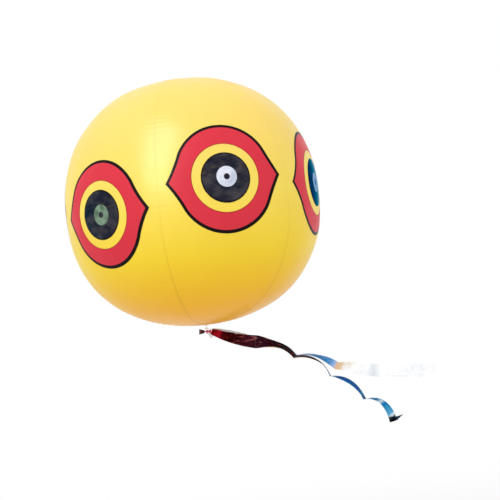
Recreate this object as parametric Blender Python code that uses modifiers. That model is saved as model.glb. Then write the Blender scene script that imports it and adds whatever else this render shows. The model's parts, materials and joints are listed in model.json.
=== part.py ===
"""Inflatable bird scare ball: six welded panels, six eyes, a valve, a hanging tab and two film streamers.

The ball's axis is Z and its front eye faces -Y.
The origin is on the axis, at the crease where the hanging tab folds at the top of the ball.
"""

import math

import bmesh
import bpy
from mathutils import Matrix, Vector

# Clearances
seat_gap = 0.0003

# Ball: a slightly squared and flattened sphere, fuller below its middle, welded from panels
ball_radius = 0.305
pole_height_share = 0.966
squareness = 2.23
shoulder_taper_share = 0.018
panel_sides = ("front", "front_right", "back_right", "back", "back_left", "front_left")
panel_columns = 6
panel_rows = 16
panel_flatness = 0.004
skin_thickness = 0.0003
seam_fin = 0.005
pole_hole_radius = 0.020
cap_radius = 0.038
cap_thickness = 0.0006

# Eyes: prints and discs that follow the skin, measured straight across
eye_lift_degs = (4.6, 1.5, -2.0, 2.0, 1.0, -2.7)
iris_shifts = ((0.0019, 0.0019), (0, 0), (0, 0), (0, 0), (0, 0), (0.003, 0))
pupil_radius = 0.007
iris_width = 0.0165
mirror_band_width = 0.0335
yellow_ring_width = 0.0205
red_field_width = 0.0285
eye_line_width = 0.0065
eye_point_reach = 0.021
eye_arc_rise = 0.0115
eye_arc_steps = 10
print_thickness = 0.0003
eye_cut_depth = 0.060

# Valve, on the back panel near the top, with heights measured from the skin
valve_row = 13
valve_column = 3
valve_hole_radius = 0.0072
valve_flange_radius = 0.016
valve_flange_thickness = 0.0008
stem_base_radius = 0.006
stem_neck_radius = 0.0052
stem_rim_radius = 0.0046
stem_bore_radius = 0.003
stem_height = 0.013
stem_neck_height = 0.008
stem_shoulder_height = 0.002
stem_rim_height = 0.0006
collar_depth = 0.0022
collar_radius = 0.0078
collar_thickness = 0.0011
valve_lip_radius = 0.0021
plug_head_radius = 0.005
plug_head_height = 0.0024
plug_head_round = 0.0008
plug_spigot_length = 0.0075
plug_spigot_taper = 0.0007
flap_radius = 0.0034
flap_thickness = 0.0007
flap_ear_reach = 0.0048
flap_ear_width = 0.002
strap_ring_height = 0.0092
strap_ring_thickness = 0.0012
strap_ring_width = 0.0012
strap_radius = 0.0007
strap_reach = 0.012
strap_rise = 0.0024

# Hanging tab, folded back over the top of the ball
tab_thickness = 0.0008
hang_tab_width = 0.026
hang_tab_length = 0.032
hang_tab_corner = 0.006
hang_tab_lean_deg = 8
hang_foot_length = 0.009
eyelet_place = 0.019
eyelet_bore_radius = 0.004
eyelet_wall = 0.0003
eyelet_flange_radius = 0.008
eyelet_flange_thickness = 0.0006
eyelet_washer_thickness = 0.0005
eyelet_lip_width = 0.0012

# Streamer tab, hanging under the ball
streamer_tab_width = 0.012
streamer_tab_length = 0.0105
streamer_tab_corner = 0.003
streamer_foot_length = 0.012
streamer_hole_rise = 0.0042
streamer_hole_radius = 0.0025

# Knot: a film loop through the tab's hole, tied below it
film_loop_radius = 0.0034
film_loop_thickness = 0.0011
knot_drop = 0.0085
knot_size = 0.0014
knot_strand_radius = 0.0009
neck_radius = 0.0011
neck_end_radius = 0.0012
long_neck_reach = 0.0095
long_neck_spread = 0.0045
short_neck_reach = 0.006

# Streamers: film strips blown along one direction, creased where they were wound flat
wind_turn_deg = -15.4
film_width = 0.032
film_thickness = 0.0002
crease_gap = 0.0004
fold_length = 0.105
dark_first_fold_length = 0.110
dark_last_fold_length = 0.094
dark_end_length = 0.023
dark_drift = -0.006
silver_first_fold_length = 0.116
silver_end_length = 0.028
silver_drift = 0.035
silver_bulge = 0.005
dark_short_heading_deg = 176
silver_short_heading_deg = -50
short_end_length = 0.013
short_end_width = 0.013
gather_start_share = 0.1
gather_power = 0.35
gather_pleats = 6
pleat_depth = 0.0024
fold_steps = 8

# Steps of round and wound forms
round_steps = 24
knot_steps = 30
loop_steps = 16
disc_steps = 28
pupil_steps = 12
ball_steps = 6
corner_steps = 6

# Colours as RGB, with roughness and metallic values
vinyl_yellow = ((0.95, 0.62, 0.06), 0.28, 0.0)
print_red = ((0.72, 0.06, 0.08), 0.32, 0.0)
print_black = ((0.012, 0.010, 0.014), 0.35, 0.0)
disc_black = ((0.015, 0.016, 0.025), 0.06, 0.6)
iris_silver = ((0.75, 0.80, 0.82), 0.18, 1.0)
clear_vinyl = ((0.85, 0.82, 0.72), 0.30, 0.0)
nickel = ((0.70, 0.69, 0.66), 0.25, 1.0)
dark_film = ((0.16, 0.02, 0.06), 0.12, 1.0)
silver_film = ((0.80, 0.84, 0.88), 0.10, 1.0)

# Values worked out from the ones above
pole_height = pole_height_share * ball_radius
iris_radius = pupil_radius + iris_width
mirror_disc_radius = iris_radius + mirror_band_width
yellow_ring_radius = mirror_disc_radius + yellow_ring_width
eye_arc_radius = yellow_ring_radius + red_field_width + eye_line_width
eye_half_width = eye_arc_radius + eye_point_reach
pole_steps = panel_columns * len(panel_sides)
weld_distance = seat_gap / 100
half_panel = math.pi / len(panel_sides)
front_angle = math.radians(-90)
dark_short_heading = math.radians(dark_short_heading_deg)
silver_short_heading = math.radians(silver_short_heading_deg)

parts = None
cutters = None


def start_scene():
    """Empties the scene and makes the two collections."""
    global parts, cutters
    for item in list(bpy.data.objects):
        bpy.data.objects.remove(item, do_unlink=True)
    parts = bpy.data.collections.new("bird_scare_balloon")
    cutters = bpy.data.collections.new("cutters")
    for collection in (parts, cutters):
        bpy.context.scene.collection.children.link(collection)


def make_material(name, look):
    """Principled material of one colour, roughness and metallic value."""
    colour, roughness, metallic = look
    material = bpy.data.materials.new(name)
    material.use_nodes = True
    shader = material.node_tree.nodes["Principled BSDF"]
    shader.inputs["Base Color"].default_value = (*colour, 1)
    shader.inputs["Roughness"].default_value = roughness
    shader.inputs["Metallic"].default_value = metallic
    return material


def add_part(name, mesh, look, place=Matrix()):
    """Puts a mesh into the part's collection with a material of its own."""
    part = bpy.data.objects.new(name, mesh)
    part.matrix_world = place
    mesh.materials.append(make_material(name, look))
    parts.objects.link(part)
    return part


def add_cutter(name, mesh, place=Matrix()):
    """Puts a mesh into the cutters' collection, out of the render."""
    cutter = bpy.data.objects.new(name, mesh)
    cutter.matrix_world = place
    cutter.hide_render = True
    cutter.display_type = "WIRE"
    cutters.objects.link(cutter)
    return cutter


def combine(part, cutter, operation, solver="EXACT"):
    """Adds a Boolean of a cutter to a part."""
    step = part.modifiers.new(cutter.name, "BOOLEAN")
    step.operation = operation
    step.object = cutter
    step.solver = solver


def thicken(part, thickness, side, even=True):
    """Turns an open surface into a closed shell; side is -1 inwards, 0 both ways and 1 outwards."""
    shell = part.modifiers.new("thickness", "SOLIDIFY")
    shell.thickness = thickness
    shell.offset = side
    shell.use_even_offset = even


def grid_mesh(name, rows):
    """Open surface through rows of points, split into triangles the same way everywhere."""
    form = bmesh.new()
    lines = [[form.verts.new(point) for point in row] for row in rows]
    for lower, upper in zip(lines, lines[1:]):
        for i in range(len(lower) - 1):
            form.faces.new((lower[i], lower[i + 1], upper[i + 1], upper[i]))
    bmesh.ops.triangulate(form, faces=form.faces[:], quad_method="FIXED")
    form.normal_update()
    mesh = bpy.data.meshes.new(name)
    form.to_mesh(mesh)
    form.free()
    return mesh


def cylinder_mesh(name, radius, low, high, steps):
    """Closed cylinder along Z between two heights."""
    form = bmesh.new()
    middle = Matrix.Translation((0, 0, (low + high) / 2))
    bmesh.ops.create_cone(
        form, cap_ends=True, segments=steps, radius1=radius, radius2=radius, depth=high - low, matrix=middle
    )
    mesh = bpy.data.meshes.new(name)
    form.to_mesh(mesh)
    form.free()
    return mesh


def curve_mesh(name, curve):
    """Closed mesh of a filled or bevelled curve, with its caps welded."""
    source = bpy.data.objects.new(name, curve)
    parts.objects.link(source)
    bpy.context.view_layer.update()
    shape = source.evaluated_get(bpy.context.evaluated_depsgraph_get())
    mesh = bpy.data.meshes.new_from_object(shape)
    form = bmesh.new()
    form.from_mesh(mesh)
    bmesh.ops.remove_doubles(form, verts=form.verts[:], dist=weld_distance)
    bmesh.ops.recalc_face_normals(form, faces=form.faces[:])
    form.to_mesh(mesh)
    form.free()
    bpy.data.objects.remove(source, do_unlink=True)
    return mesh


def outline_mesh(name, outlines, thickness):
    """Flat solid of closed outlines in the XY plane, centred on Z; inner outlines are holes."""
    curve = bpy.data.curves.new(name, "CURVE")
    curve.dimensions = "2D"
    curve.fill_mode = "BOTH"
    curve.extrude = thickness / 2
    for outline in outlines:
        spline = curve.splines.new("POLY")
        spline.points.add(len(outline) - 1)
        for point, (x, y) in zip(spline.points, outline):
            point.co = (x, y, 0, 1)
        spline.use_cyclic_u = True
    return curve_mesh(name, curve)


def tube_mesh(name, points, radius, closed=False):
    """Round tube through points, with filled ends unless it is a closed ring."""
    curve = bpy.data.curves.new(name, "CURVE")
    curve.dimensions = "3D"
    curve.bevel_depth = radius
    curve.bevel_resolution = 1
    curve.use_fill_caps = not closed
    spline = curve.splines.new("POLY")
    spline.points.add(len(points) - 1)
    for point, place in zip(spline.points, points):
        point.co = (*place, 1)
    spline.use_cyclic_u = closed
    return curve_mesh(name, curve)


def turned_part(name, profile, look, place=Matrix(), closed=False, steps=round_steps):
    """Turns a profile about Z; the profile runs down the outer side, and a closed one makes a ring."""
    mesh = bpy.data.meshes.new(name)
    edges = [(i, i + 1) for i in range(len(profile) - 1)]
    if closed:
        edges.append((len(profile) - 1, 0))
    mesh.from_pydata([(radius, 0, height) for radius, height in profile], edges, [])
    part = add_part(name, mesh, look, place)
    turn = part.modifiers.new("turn", "SCREW")
    turn.axis = "Z"
    turn.angle = math.tau
    turn.steps = steps
    turn.render_steps = steps
    turn.use_merge_vertices = True
    turn.merge_threshold = weld_distance
    turn.use_smooth_shade = True
    return part


def circle_points(radius, steps, x=0, y=0):
    """Corners of a round outline."""
    return [
        (x + radius * math.cos(math.tau * i / steps), y + radius * math.sin(math.tau * i / steps))
        for i in range(steps)
    ]


def tab_outline(width, start, end, corner):
    """Outline of a tab that runs along Y, with two round corners at its end."""
    half = width / 2
    arc = [math.pi / 2 * i / corner_steps for i in range(corner_steps + 1)]
    right = [(half - corner + corner * math.cos(a), end - corner + corner * math.sin(a)) for a in arc]
    left = [(-x, y) for x, y in reversed(right)]
    return [(-half, start), (half, start)] + right + left


def skin_profile(lift):
    """Distance from the axis and height over the ball's middle, for a seam, at an angle above the equator."""
    power = 2 / squareness
    radius = ball_radius * math.cos(lift) ** power * (1 - shoulder_taper_share * math.sin(lift))
    height = pole_height * math.copysign(abs(math.sin(lift)) ** power, lift)
    return radius, height


def profile_normal(lift):
    """Outward direction of the profile, as its shares along the radius and Z."""
    step = math.radians(0.5)
    radius_a, height_a = skin_profile(lift - step)
    radius_b, height_b = skin_profile(lift + step)
    return Vector((height_b - height_a, radius_a - radius_b)).normalized()


last_lift = math.acos((pole_hole_radius / ball_radius) ** (squareness / 2))
pole_rim_height = skin_profile(last_lift)[1]
cap_top_height = pole_rim_height + seat_gap + cap_thickness
hang_hinge_rise = tab_thickness + 2 * seat_gap + tab_thickness / 2
ball_centre = Vector((0, 0, -cap_top_height - hang_hinge_rise))


def side_angle(side):
    """Direction of a panel's middle seen from above."""
    return front_angle + 2 * half_panel * panel_sides.index(side)


def radial(angle):
    """Level direction away from the axis."""
    return Vector((math.cos(angle), math.sin(angle), 0))


def skin_point(side, lift, across):
    """Point of a panel's outer face; across runs from -1 at its left seam to 1 at its right seam."""
    radius, height = skin_profile(lift)
    turn = across * (half_panel - math.asin(seat_gap / 2 / radius))
    point = radial(side_angle(side) + turn) * radius + Vector((0, 0, height))
    nearness = math.cos(across * math.pi / 2) ** 2
    fade = max(0, (radius - cap_radius) / (ball_radius - cap_radius))
    sink = panel_flatness * nearness * fade
    return ball_centre + point * (1 - sink / point.length)


def panel_lifts():
    """Angles above the equator of a panel's rows of points."""
    return [last_lift * (2 * j / panel_rows - 1) for j in range(panel_rows + 1)]


def panel_row(side, lift):
    """A row of panel points from the left seam to the right one."""
    return [skin_point(side, lift, 2 * i / panel_columns - 1) for i in range(panel_columns + 1)]


def panel_row_with_fins(side, lift):
    """A row of panel points with the inward welding fin of each seam."""
    row = panel_row(side, lift)
    outwards, upwards = profile_normal(lift)
    ends = []
    for point, across in ((row[0], -1), (row[-1], 1)):
        seam = radial(side_angle(side) + across * half_panel)
        ends.append(point - (seam * outwards + Vector((0, 0, upwards))) * seam_fin)
    return [ends[0]] + row + [ends[1]]


def make_panel(side):
    """One gore panel with its seam fins."""
    mesh = grid_mesh(f"{side}_panel", [panel_row_with_fins(side, lift) for lift in panel_lifts()])
    panel = add_part(f"{side}_panel", mesh, vinyl_yellow)
    thicken(panel, skin_thickness, -1)
    return panel


def skin_patch(name, side, rise, thickness, look):
    """Shell that lies parallel to a panel, a rise above its outer face or, if negative, below it."""
    mesh = grid_mesh(name, [panel_row(side, lift) for lift in panel_lifts()])
    form = bmesh.new()
    form.from_mesh(mesh)
    form.normal_update()
    for vertex, normal in [(vertex, vertex.normal.copy()) for vertex in form.verts]:
        vertex.co += normal * rise
    form.to_mesh(mesh)
    form.free()
    patch = add_part(name, mesh, look)
    thicken(patch, thickness, math.copysign(1, rise))
    return patch


def skin_frame(side, lift):
    """Placement on the panel's middle line with Z out of the skin and Y up it."""
    outwards, upwards = profile_normal(lift)
    out = radial(side_angle(side)) * outwards + Vector((0, 0, upwards))
    right = Vector((0, 0, 1)).cross(out).normalized()
    up = out.cross(right)
    frame = Matrix((right, up, out)).transposed().to_4x4()
    frame.translation = skin_point(side, lift, 0)
    return frame


def facet_frame(side, row, column):
    """Placement on the middle of one facet of a panel with Z out of the skin and Y up it."""
    lifts = panel_lifts()[row:row + 2]
    spans = [2 * i / panel_columns - 1 for i in (column, column + 1)]
    low_left, low_right, high_left, high_right = [skin_point(side, lift, i) for lift in lifts for i in spans]
    right = (low_right - low_left + high_right - high_left).normalized()
    out = right.cross(high_left + high_right - low_left - low_right).normalized()
    frame = Matrix((right, out.cross(right), out)).transposed().to_4x4()
    frame.translation = (low_left + low_right + high_left + high_right) / 4
    return frame


def eye_points(inset):
    """Outline of two arcs that meet in a point at each side, moved in by an inset."""
    middle_distance = math.hypot(eye_half_width, eye_arc_rise)
    start = math.acos(eye_arc_radius / middle_distance) - math.atan2(eye_arc_rise, eye_half_width)
    radius = eye_arc_radius - inset
    tip = eye_half_width - inset / math.cos(start)
    sweep = math.pi - 2 * start
    angles = [start + sweep * i / eye_arc_steps for i in range(eye_arc_steps + 1)]
    upper = [(radius * math.cos(a), eye_arc_rise + radius * math.sin(a)) for a in angles]
    lower = [(-x, -y) for x, y in upper]
    return [(tip, 0)] + upper + [(-tip, 0)] + lower


def make_print(name, side, lift, outlines, rise, look):
    """A print or disc on a panel, cut from a patch of skin by its outlines."""
    patch = skin_patch(name, side, rise, print_thickness, look)
    prism = outline_mesh(f"{name}_prism", outlines, 2 * eye_cut_depth)
    combine(patch, add_cutter(f"{name}_prism", prism, skin_frame(side, lift)), "INTERSECT")


def make_eye(side, lift, shift):
    """Outline, red field, mirror disc and iris ring of one panel; a shift moves the iris off the middle."""
    outline = [eye_points(0), eye_points(eye_line_width)]
    make_print(f"{side}_eye_outline", side, lift, outline, seat_gap, print_black)
    field = [eye_points(eye_line_width + seat_gap), circle_points(yellow_ring_radius, disc_steps)]
    make_print(f"{side}_eye_field", side, lift, field, seat_gap, print_red)
    disc = [circle_points(mirror_disc_radius, disc_steps)]
    make_print(f"{side}_mirror_disc", side, lift, disc, seat_gap, disc_black)
    iris = [circle_points(iris_radius, round_steps, *shift), circle_points(pupil_radius, pupil_steps, *shift)]
    make_print(f"{side}_iris", side, lift, iris, 2 * seat_gap + print_thickness, iris_silver)


def make_cap(name, upright):
    """Round patch over the gore tips; upright is 1 at the top and -1 at the bottom."""
    lifts = panel_lifts()
    inner_radius, inner_height = skin_profile(upright * lifts[-1])
    outer_radius, outer_height = skin_profile(upright * lifts[-2])
    slope = upright * (outer_height - inner_height) / (outer_radius - inner_radius)
    rim_height = pole_rim_height + slope * (cap_radius - inner_radius)
    under = [(cap_radius, rim_height + seat_gap), (inner_radius, pole_rim_height + seat_gap)]
    over = [(radius, height + cap_thickness) for radius, height in reversed(under)]
    profile = [(0, over[0][1])] + over + under + [(0, under[-1][1])]
    place = Matrix.Translation(ball_centre) @ Matrix.Rotation(math.pi * (1 - upright) / 2, 4, "X")
    turned_part(name, profile, vinyl_yellow, place, steps=pole_steps)


def make_valve(panel):
    """Flange under the panel, push-in stem with its check flap, and the plug with its strap."""
    place = facet_frame("back", valve_row, valve_column)
    reach = 4 * collar_radius
    hole = add_cutter("valve_hole", cylinder_mesh("hole", valve_hole_radius, -reach, reach, round_steps), place)
    combine(panel, hole, "DIFFERENCE")
    flange = skin_patch(
        "valve_flange", "back", -skin_thickness - seat_gap, valve_flange_thickness, clear_vinyl
    )
    rim = cylinder_mesh("flange_rim", valve_flange_radius, -reach, reach, round_steps)
    combine(flange, add_cutter("valve_flange_rim", rim, place), "INTERSECT")
    bore = cylinder_mesh("flange_bore", stem_base_radius + seat_gap, -reach, reach, round_steps)
    combine(flange, add_cutter("valve_flange_bore", bore, place), "DIFFERENCE")
    collar_bottom = -collar_depth - collar_thickness
    stem_profile = [
        (stem_bore_radius, stem_height),
        (stem_rim_radius, stem_height),
        (stem_neck_radius, stem_height - stem_rim_height),
        (stem_neck_radius, stem_neck_height),
        (stem_base_radius, stem_shoulder_height),
        (stem_base_radius, -collar_depth),
        (collar_radius, -collar_depth),
        (collar_radius, collar_bottom),
        (valve_lip_radius, collar_bottom),
        (valve_lip_radius, -collar_depth),
        (stem_bore_radius, -collar_depth),
    ]
    turned_part("valve_stem", stem_profile, clear_vinyl, place, closed=True)
    spigot_radius = stem_bore_radius - seat_gap
    head_bottom = stem_height + seat_gap
    head_top = head_bottom + plug_head_height
    plug_profile = [
        (0, head_top),
        (plug_head_radius - plug_head_round, head_top),
        (plug_head_radius, head_top - plug_head_round),
        (plug_head_radius, head_bottom),
        (spigot_radius, head_bottom),
        (spigot_radius, head_bottom - plug_spigot_length + plug_spigot_taper),
        (spigot_radius - plug_spigot_taper, head_bottom - plug_spigot_length),
        (0, head_bottom - plug_spigot_length),
    ]
    turned_part("valve_plug", plug_profile, clear_vinyl, place)
    make_check_flap(place, collar_bottom)
    make_plug_strap(place, head_bottom)


def make_check_flap(place, collar_bottom):
    """Disc under the stem's lip, hinged at the end of its ear."""
    height = collar_bottom - seat_gap - flap_thickness / 2
    ear_start = math.asin(flap_ear_width / 2 / flap_radius)
    outline = []
    for i in range(round_steps + 1):
        angle = ear_start + (math.tau - 2 * ear_start) * i / round_steps
        outline.append((flap_radius * math.cos(angle) - flap_ear_reach, flap_radius * math.sin(angle)))
    outline += [(0, -flap_ear_width / 2), (0, flap_ear_width / 2)]
    hinge = place @ Matrix.Translation((flap_ear_reach, 0, height))
    flap_mesh = outline_mesh("valve_check_flap", [outline], flap_thickness)
    add_part("valve_check_flap", flap_mesh, clear_vinyl, hinge)


def make_plug_strap(place, head_bottom):
    """Ring round the stem's neck with a strap that bends up to the side of the plug's head."""
    inner = stem_neck_radius + seat_gap
    outer = inner + strap_ring_width
    low = strap_ring_height
    high = strap_ring_height + strap_ring_thickness
    ring_profile = [(outer, high), (outer, low), (inner, low), (inner, high)]
    strap = turned_part("plug_strap", ring_profile, clear_vinyl, place, closed=True)
    start_height = (low + high) / 2
    end_height = head_bottom + plug_head_height / 2
    end_reach = plug_head_radius + seat_gap
    route = [
        (outer - strap_ring_width / 2, start_height),
        (outer + strap_radius, start_height),
        (strap_reach - strap_radius, start_height + strap_rise / 4),
        (strap_reach, (start_height + end_height) / 2),
        (strap_reach - strap_radius, end_height),
        (end_reach, end_height),
    ]
    tube = tube_mesh("plug_strap_band", [(x, 0, z) for x, z in route], strap_radius)
    combine(strap, add_cutter("plug_strap_band", tube, place), "UNION")


def make_hang_tab():
    """Welded foot, folded flap, eyelet and washer at the top."""
    foot_height = -hang_hinge_rise + seat_gap + tab_thickness / 2
    foot_place = Matrix.Translation((0, 0, foot_height))
    foot_corners = tab_outline(hang_tab_width, seat_gap, hang_foot_length, hang_tab_corner)
    foot_outline = [(x, -y) for x, y in foot_corners]
    foot_mesh = outline_mesh("hang_tab_foot", [foot_outline], tab_thickness)
    add_part("hang_tab_foot", foot_mesh, clear_vinyl, foot_place)
    lean = Matrix.Rotation(math.radians(hang_tab_lean_deg), 4, "X")
    hole_radius = eyelet_bore_radius + eyelet_wall + seat_gap
    hole = circle_points(hole_radius, round_steps, y=eyelet_place)
    flap_outline = tab_outline(hang_tab_width, seat_gap, hang_tab_length, hang_tab_corner)
    flap_mesh = outline_mesh("hang_tab", [flap_outline, hole], tab_thickness)
    add_part("hang_tab", flap_mesh, clear_vinyl, lean)
    eyelet_frame = lean @ Matrix.Translation((0, eyelet_place, 0))
    barrel_radius = eyelet_bore_radius + eyelet_wall
    top_seat = tab_thickness / 2 + seat_gap
    top = top_seat + eyelet_flange_thickness
    washer_top = -tab_thickness / 2 - seat_gap
    washer_bottom = washer_top - eyelet_washer_thickness
    lip_top = washer_bottom - seat_gap
    lip_bottom = lip_top - eyelet_wall
    eyelet_profile = [
        (eyelet_bore_radius, top),
        (eyelet_flange_radius, top),
        (eyelet_flange_radius, top_seat),
        (barrel_radius, top_seat),
        (barrel_radius, lip_top),
        (barrel_radius + eyelet_lip_width, lip_top),
        (barrel_radius + eyelet_lip_width, lip_bottom),
        (eyelet_bore_radius, lip_bottom),
    ]
    turned_part("hang_eyelet", eyelet_profile, nickel, eyelet_frame, closed=True)
    washer_bore = barrel_radius + seat_gap
    washer_profile = [
        (eyelet_flange_radius, washer_top),
        (eyelet_flange_radius, washer_bottom),
        (washer_bore, washer_bottom),
        (washer_bore, washer_top),
    ]
    turned_part("hang_eyelet_washer", washer_profile, nickel, eyelet_frame, closed=True)


streamer_foot_height = ball_centre.z - cap_top_height - seat_gap - tab_thickness / 2
streamer_tab_top = streamer_foot_height - tab_thickness / 2 - seat_gap
streamer_hole_height = streamer_tab_top - streamer_tab_length + streamer_hole_rise
knot_height = streamer_hole_height - knot_drop
wind_frame = Matrix.Rotation(math.radians(wind_turn_deg), 4, "Z") @ Matrix.Translation((0, 0, knot_height))
dark_exit = Vector((long_neck_reach, -long_neck_spread, 0))
silver_exit = Vector((long_neck_reach, long_neck_spread, 0))


def make_streamer_tab():
    """Welded foot and the flap that hangs edge-on to the wind, with its hole."""
    turn = Matrix.Rotation(math.radians(wind_turn_deg), 4, "Z")
    half_length = streamer_foot_length / 2
    half_width = streamer_tab_width / 2
    foot = [(-half_length, -half_width), (half_length, -half_width)]
    foot += [(-x, -y) for x, y in foot]
    foot_place = Matrix.Translation((0, 0, streamer_foot_height)) @ turn
    foot_mesh = outline_mesh("streamer_tab_foot", [foot], tab_thickness)
    add_part("streamer_tab_foot", foot_mesh, clear_vinyl, foot_place)
    outline = tab_outline(streamer_tab_width, 0, streamer_tab_length, streamer_tab_corner)
    hole = circle_points(streamer_hole_radius, round_steps, y=streamer_tab_length - streamer_hole_rise)
    hang = Matrix((Vector((0, 1, 0)), Vector((0, 0, -1)), Vector((-1, 0, 0)))).transposed().to_4x4()
    place = Matrix.Translation((0, 0, streamer_tab_top)) @ turn @ hang
    add_part("streamer_tab", outline_mesh("streamer_tab", [outline, hole], tab_thickness), clear_vinyl, place)


def knot_points():
    """Closed overhand knot round the wind direction."""
    points = []
    for i in range(knot_steps):
        t = math.tau * i / knot_steps
        y = math.sin(t) + 2 * math.sin(2 * t)
        z = math.cos(t) - 2 * math.cos(2 * t)
        x = -math.sin(3 * t)
        points.append(Vector((x, y, z)) * knot_size)
    return points


def neck_ends():
    """Ends of the four gathered necks, measured from the knot's middle."""
    ends = {"dark": dark_exit, "silver": silver_exit}
    for name, heading in (("dark_short", dark_short_heading), ("silver_short", silver_short_heading)):
        ends[name] = Vector((math.cos(heading), 0, math.sin(heading))) * short_neck_reach
    return ends


def ball_mesh(name, radius, middle):
    """Small round ball, closed."""
    form = bmesh.new()
    bmesh.ops.create_uvsphere(
        form, u_segments=ball_steps, v_segments=ball_steps - 2, radius=radius, matrix=Matrix.Translation(middle)
    )
    mesh = bpy.data.meshes.new(name)
    form.to_mesh(mesh)
    form.free()
    return mesh


def make_knot():
    """Film loop through the tab's hole, the knot below it, and a neck with a round end for each film end."""
    strands = tube_mesh("knot", knot_points(), knot_strand_radius, True)
    knot = add_part("streamer_knot", strands, dark_film, wind_frame)
    loop_middle = Vector((0, 0, knot_drop - film_loop_radius))
    loop = []
    for i in range(loop_steps):
        angle = math.tau * i / loop_steps
        loop.append(loop_middle + Vector((math.cos(angle), 0, math.sin(angle))) * film_loop_radius)
    ring = tube_mesh("film_loop", loop, film_loop_thickness, True)
    additions = {"film_loop": ring}
    for name, end in neck_ends().items():
        additions[f"{name}_neck"] = tube_mesh(name, [Vector((0, 0, 0)), end], neck_radius)
    for name in ("dark", "silver"):
        additions[f"{name}_neck_end"] = ball_mesh(name, neck_end_radius, neck_ends()[name])
    for name, mesh in additions.items():
        combine(knot, add_cutter(name, mesh, wind_frame), "UNION", "MANIFOLD")


def crease_line(tilt, lean):
    """Direction of a crease in the wind frame: towards the viewer at tilt 0, and leaning up from downwind."""
    tilt = math.radians(tilt)
    lean = math.radians(lean)
    return Vector((math.sin(tilt) * math.cos(lean), -math.cos(tilt), math.sin(tilt) * math.sin(lean)))


def film_direction(fold, share):
    """Direction along the film at a share of a fold, square to the line across it."""
    heading = fold["heading"] + fold["turn"] * share
    slope = (fold["drift"] - fold["bulge"] * 4 * (1 - 2 * share)) / fold["length"]
    along = Vector((math.cos(heading), slope, math.sin(heading)))
    across = fold_crease(fold, share)
    return (along - across * along.dot(across)).normalized()


def fold_crease(fold, share):
    """Direction across the film at a share of a fold, between its two creases."""
    return (fold["crease"] * (1 - share) + fold["end_crease"] * share).normalized()


def fold_centres(fold):
    """Points along the middle of a fold, from one crease to the next."""
    centres = [fold["start"]]
    for i in range(fold_steps):
        step = film_direction(fold, (i + 1 / 2) / fold_steps) * fold["length"] / fold_steps
        centres.append(centres[-1] + step)
    return centres


def fold_rows(fold):
    """Rows of points across a fold, a gap short of both its creases."""
    rows = []
    columns = gather_pleats if fold["gathered"] else 2
    centres = fold_centres(fold)
    centres[0] = centres[0] + film_direction(fold, 0) * fold["start_gap"]
    centres[-1] = centres[-1] - film_direction(fold, 1) * crease_gap
    for i, centre in enumerate(centres):
        share = i / fold_steps
        across = fold_crease(fold, share)
        normal = film_direction(fold, share).cross(across)
        spread = 1
        if fold["gathered"]:
            spread = gather_start_share + (1 - gather_start_share) * share ** gather_power
        row = []
        for j in range(columns + 1):
            side = 1 if j % 2 else -1
            pleat = normal * pleat_depth / 2 * (1 - spread) * side
            row.append(centre + across * fold["width"] * spread * (j / columns - 1 / 2) + pleat)
        rows.append(row)
    return rows


def make_film(name, fold, look):
    """One stretch of film between two creases, with its origin on its first crease."""
    rows = [[point - fold["start"] for point in row] for row in fold_rows(fold)]
    film = add_part(name, grid_mesh(name, rows), look, wind_frame @ Matrix.Translation(fold["start"]))
    thicken(film, film_thickness, 0, not fold["gathered"])


def chain_folds(start, start_gap, crease, width, pattern):
    """Works a pattern of folds into places, each starting where the last one ends."""
    folds = []
    for length, heading, turn, drift, bulge, tilt, lean in pattern:
        fold = {
            "start": start,
            "length": length,
            "heading": math.radians(heading),
            "turn": math.radians(turn),
            "drift": drift,
            "bulge": bulge,
            "crease": crease,
            "end_crease": crease_line(tilt, lean),
            "gathered": not folds,
            "start_gap": crease_gap if folds else start_gap,
            "width": width,
        }
        folds.append(fold)
        start = fold_centres(fold)[-1]
        crease = fold["end_crease"]
    return folds


def dark_folds():
    """Length, heading, turn, drift, bulge, end tilt and end lean of the dark folds from the knot outwards."""
    pattern = (
        (dark_first_fold_length, -27, 0, dark_drift, 0, 78, 80),
        (fold_length, 8, -73, 0, 0, 17, 52),
        (fold_length, 9, -87, 0, 0, 10, 170),
        (fold_length, -6, -66, 0, 0, 18, 170),
        (dark_last_fold_length, 14, -109, 0, 0, 41, 210),
        (dark_end_length, 22, 0, 0, 0, 41, 210),
    )
    return chain_folds(dark_exit, neck_end_radius + seat_gap, crease_line(90, 62), film_width, pattern)


def silver_folds():
    """Length, heading, turn, drift, bulge, end tilt and end lean of the silver folds from the knot outwards."""
    pattern = (
        (silver_first_fold_length, -16, 0, silver_drift, 0, 50, 256),
        (fold_length, 3, -50, 0, 0, 12, 190),
        (fold_length, 10, -56, 0, 0, 36, 229),
        (fold_length, 4, -20, 0, silver_bulge, 84, 264),
        (fold_length, -3, -12, 0, silver_bulge, 88, 262),
        (silver_end_length, -6, -4, 0, 0, 88, 262),
    )
    return chain_folds(silver_exit, neck_end_radius + seat_gap, crease_line(90, 254), film_width, pattern)


def make_streamers():
    """Both long streamers, and the two short cut ends beside the knot."""
    for name, folds, look in (("dark", dark_folds(), dark_film), ("silver", silver_folds(), silver_film)):
        for number, fold in enumerate(folds[:-1], start=1):
            make_film(f"{name}_streamer_fold_{number}", fold, look)
        make_film(f"{name}_streamer_end", folds[-1], look)
    for name, heading, look in (
        ("dark", dark_short_heading, dark_film),
        ("silver", silver_short_heading, silver_film),
    ):
        start = neck_ends()[f"{name}_short"]
        heading_deg = math.degrees(heading)
        crease = crease_line(90, heading_deg + 90)
        pattern = ((short_end_length, heading_deg, 0, 0, 0, 75, heading_deg + 90),)
        fold = chain_folds(start, seat_gap, crease, short_end_width, pattern)[0]
        make_film(f"{name}_streamer_short_end", fold, look)


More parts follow.
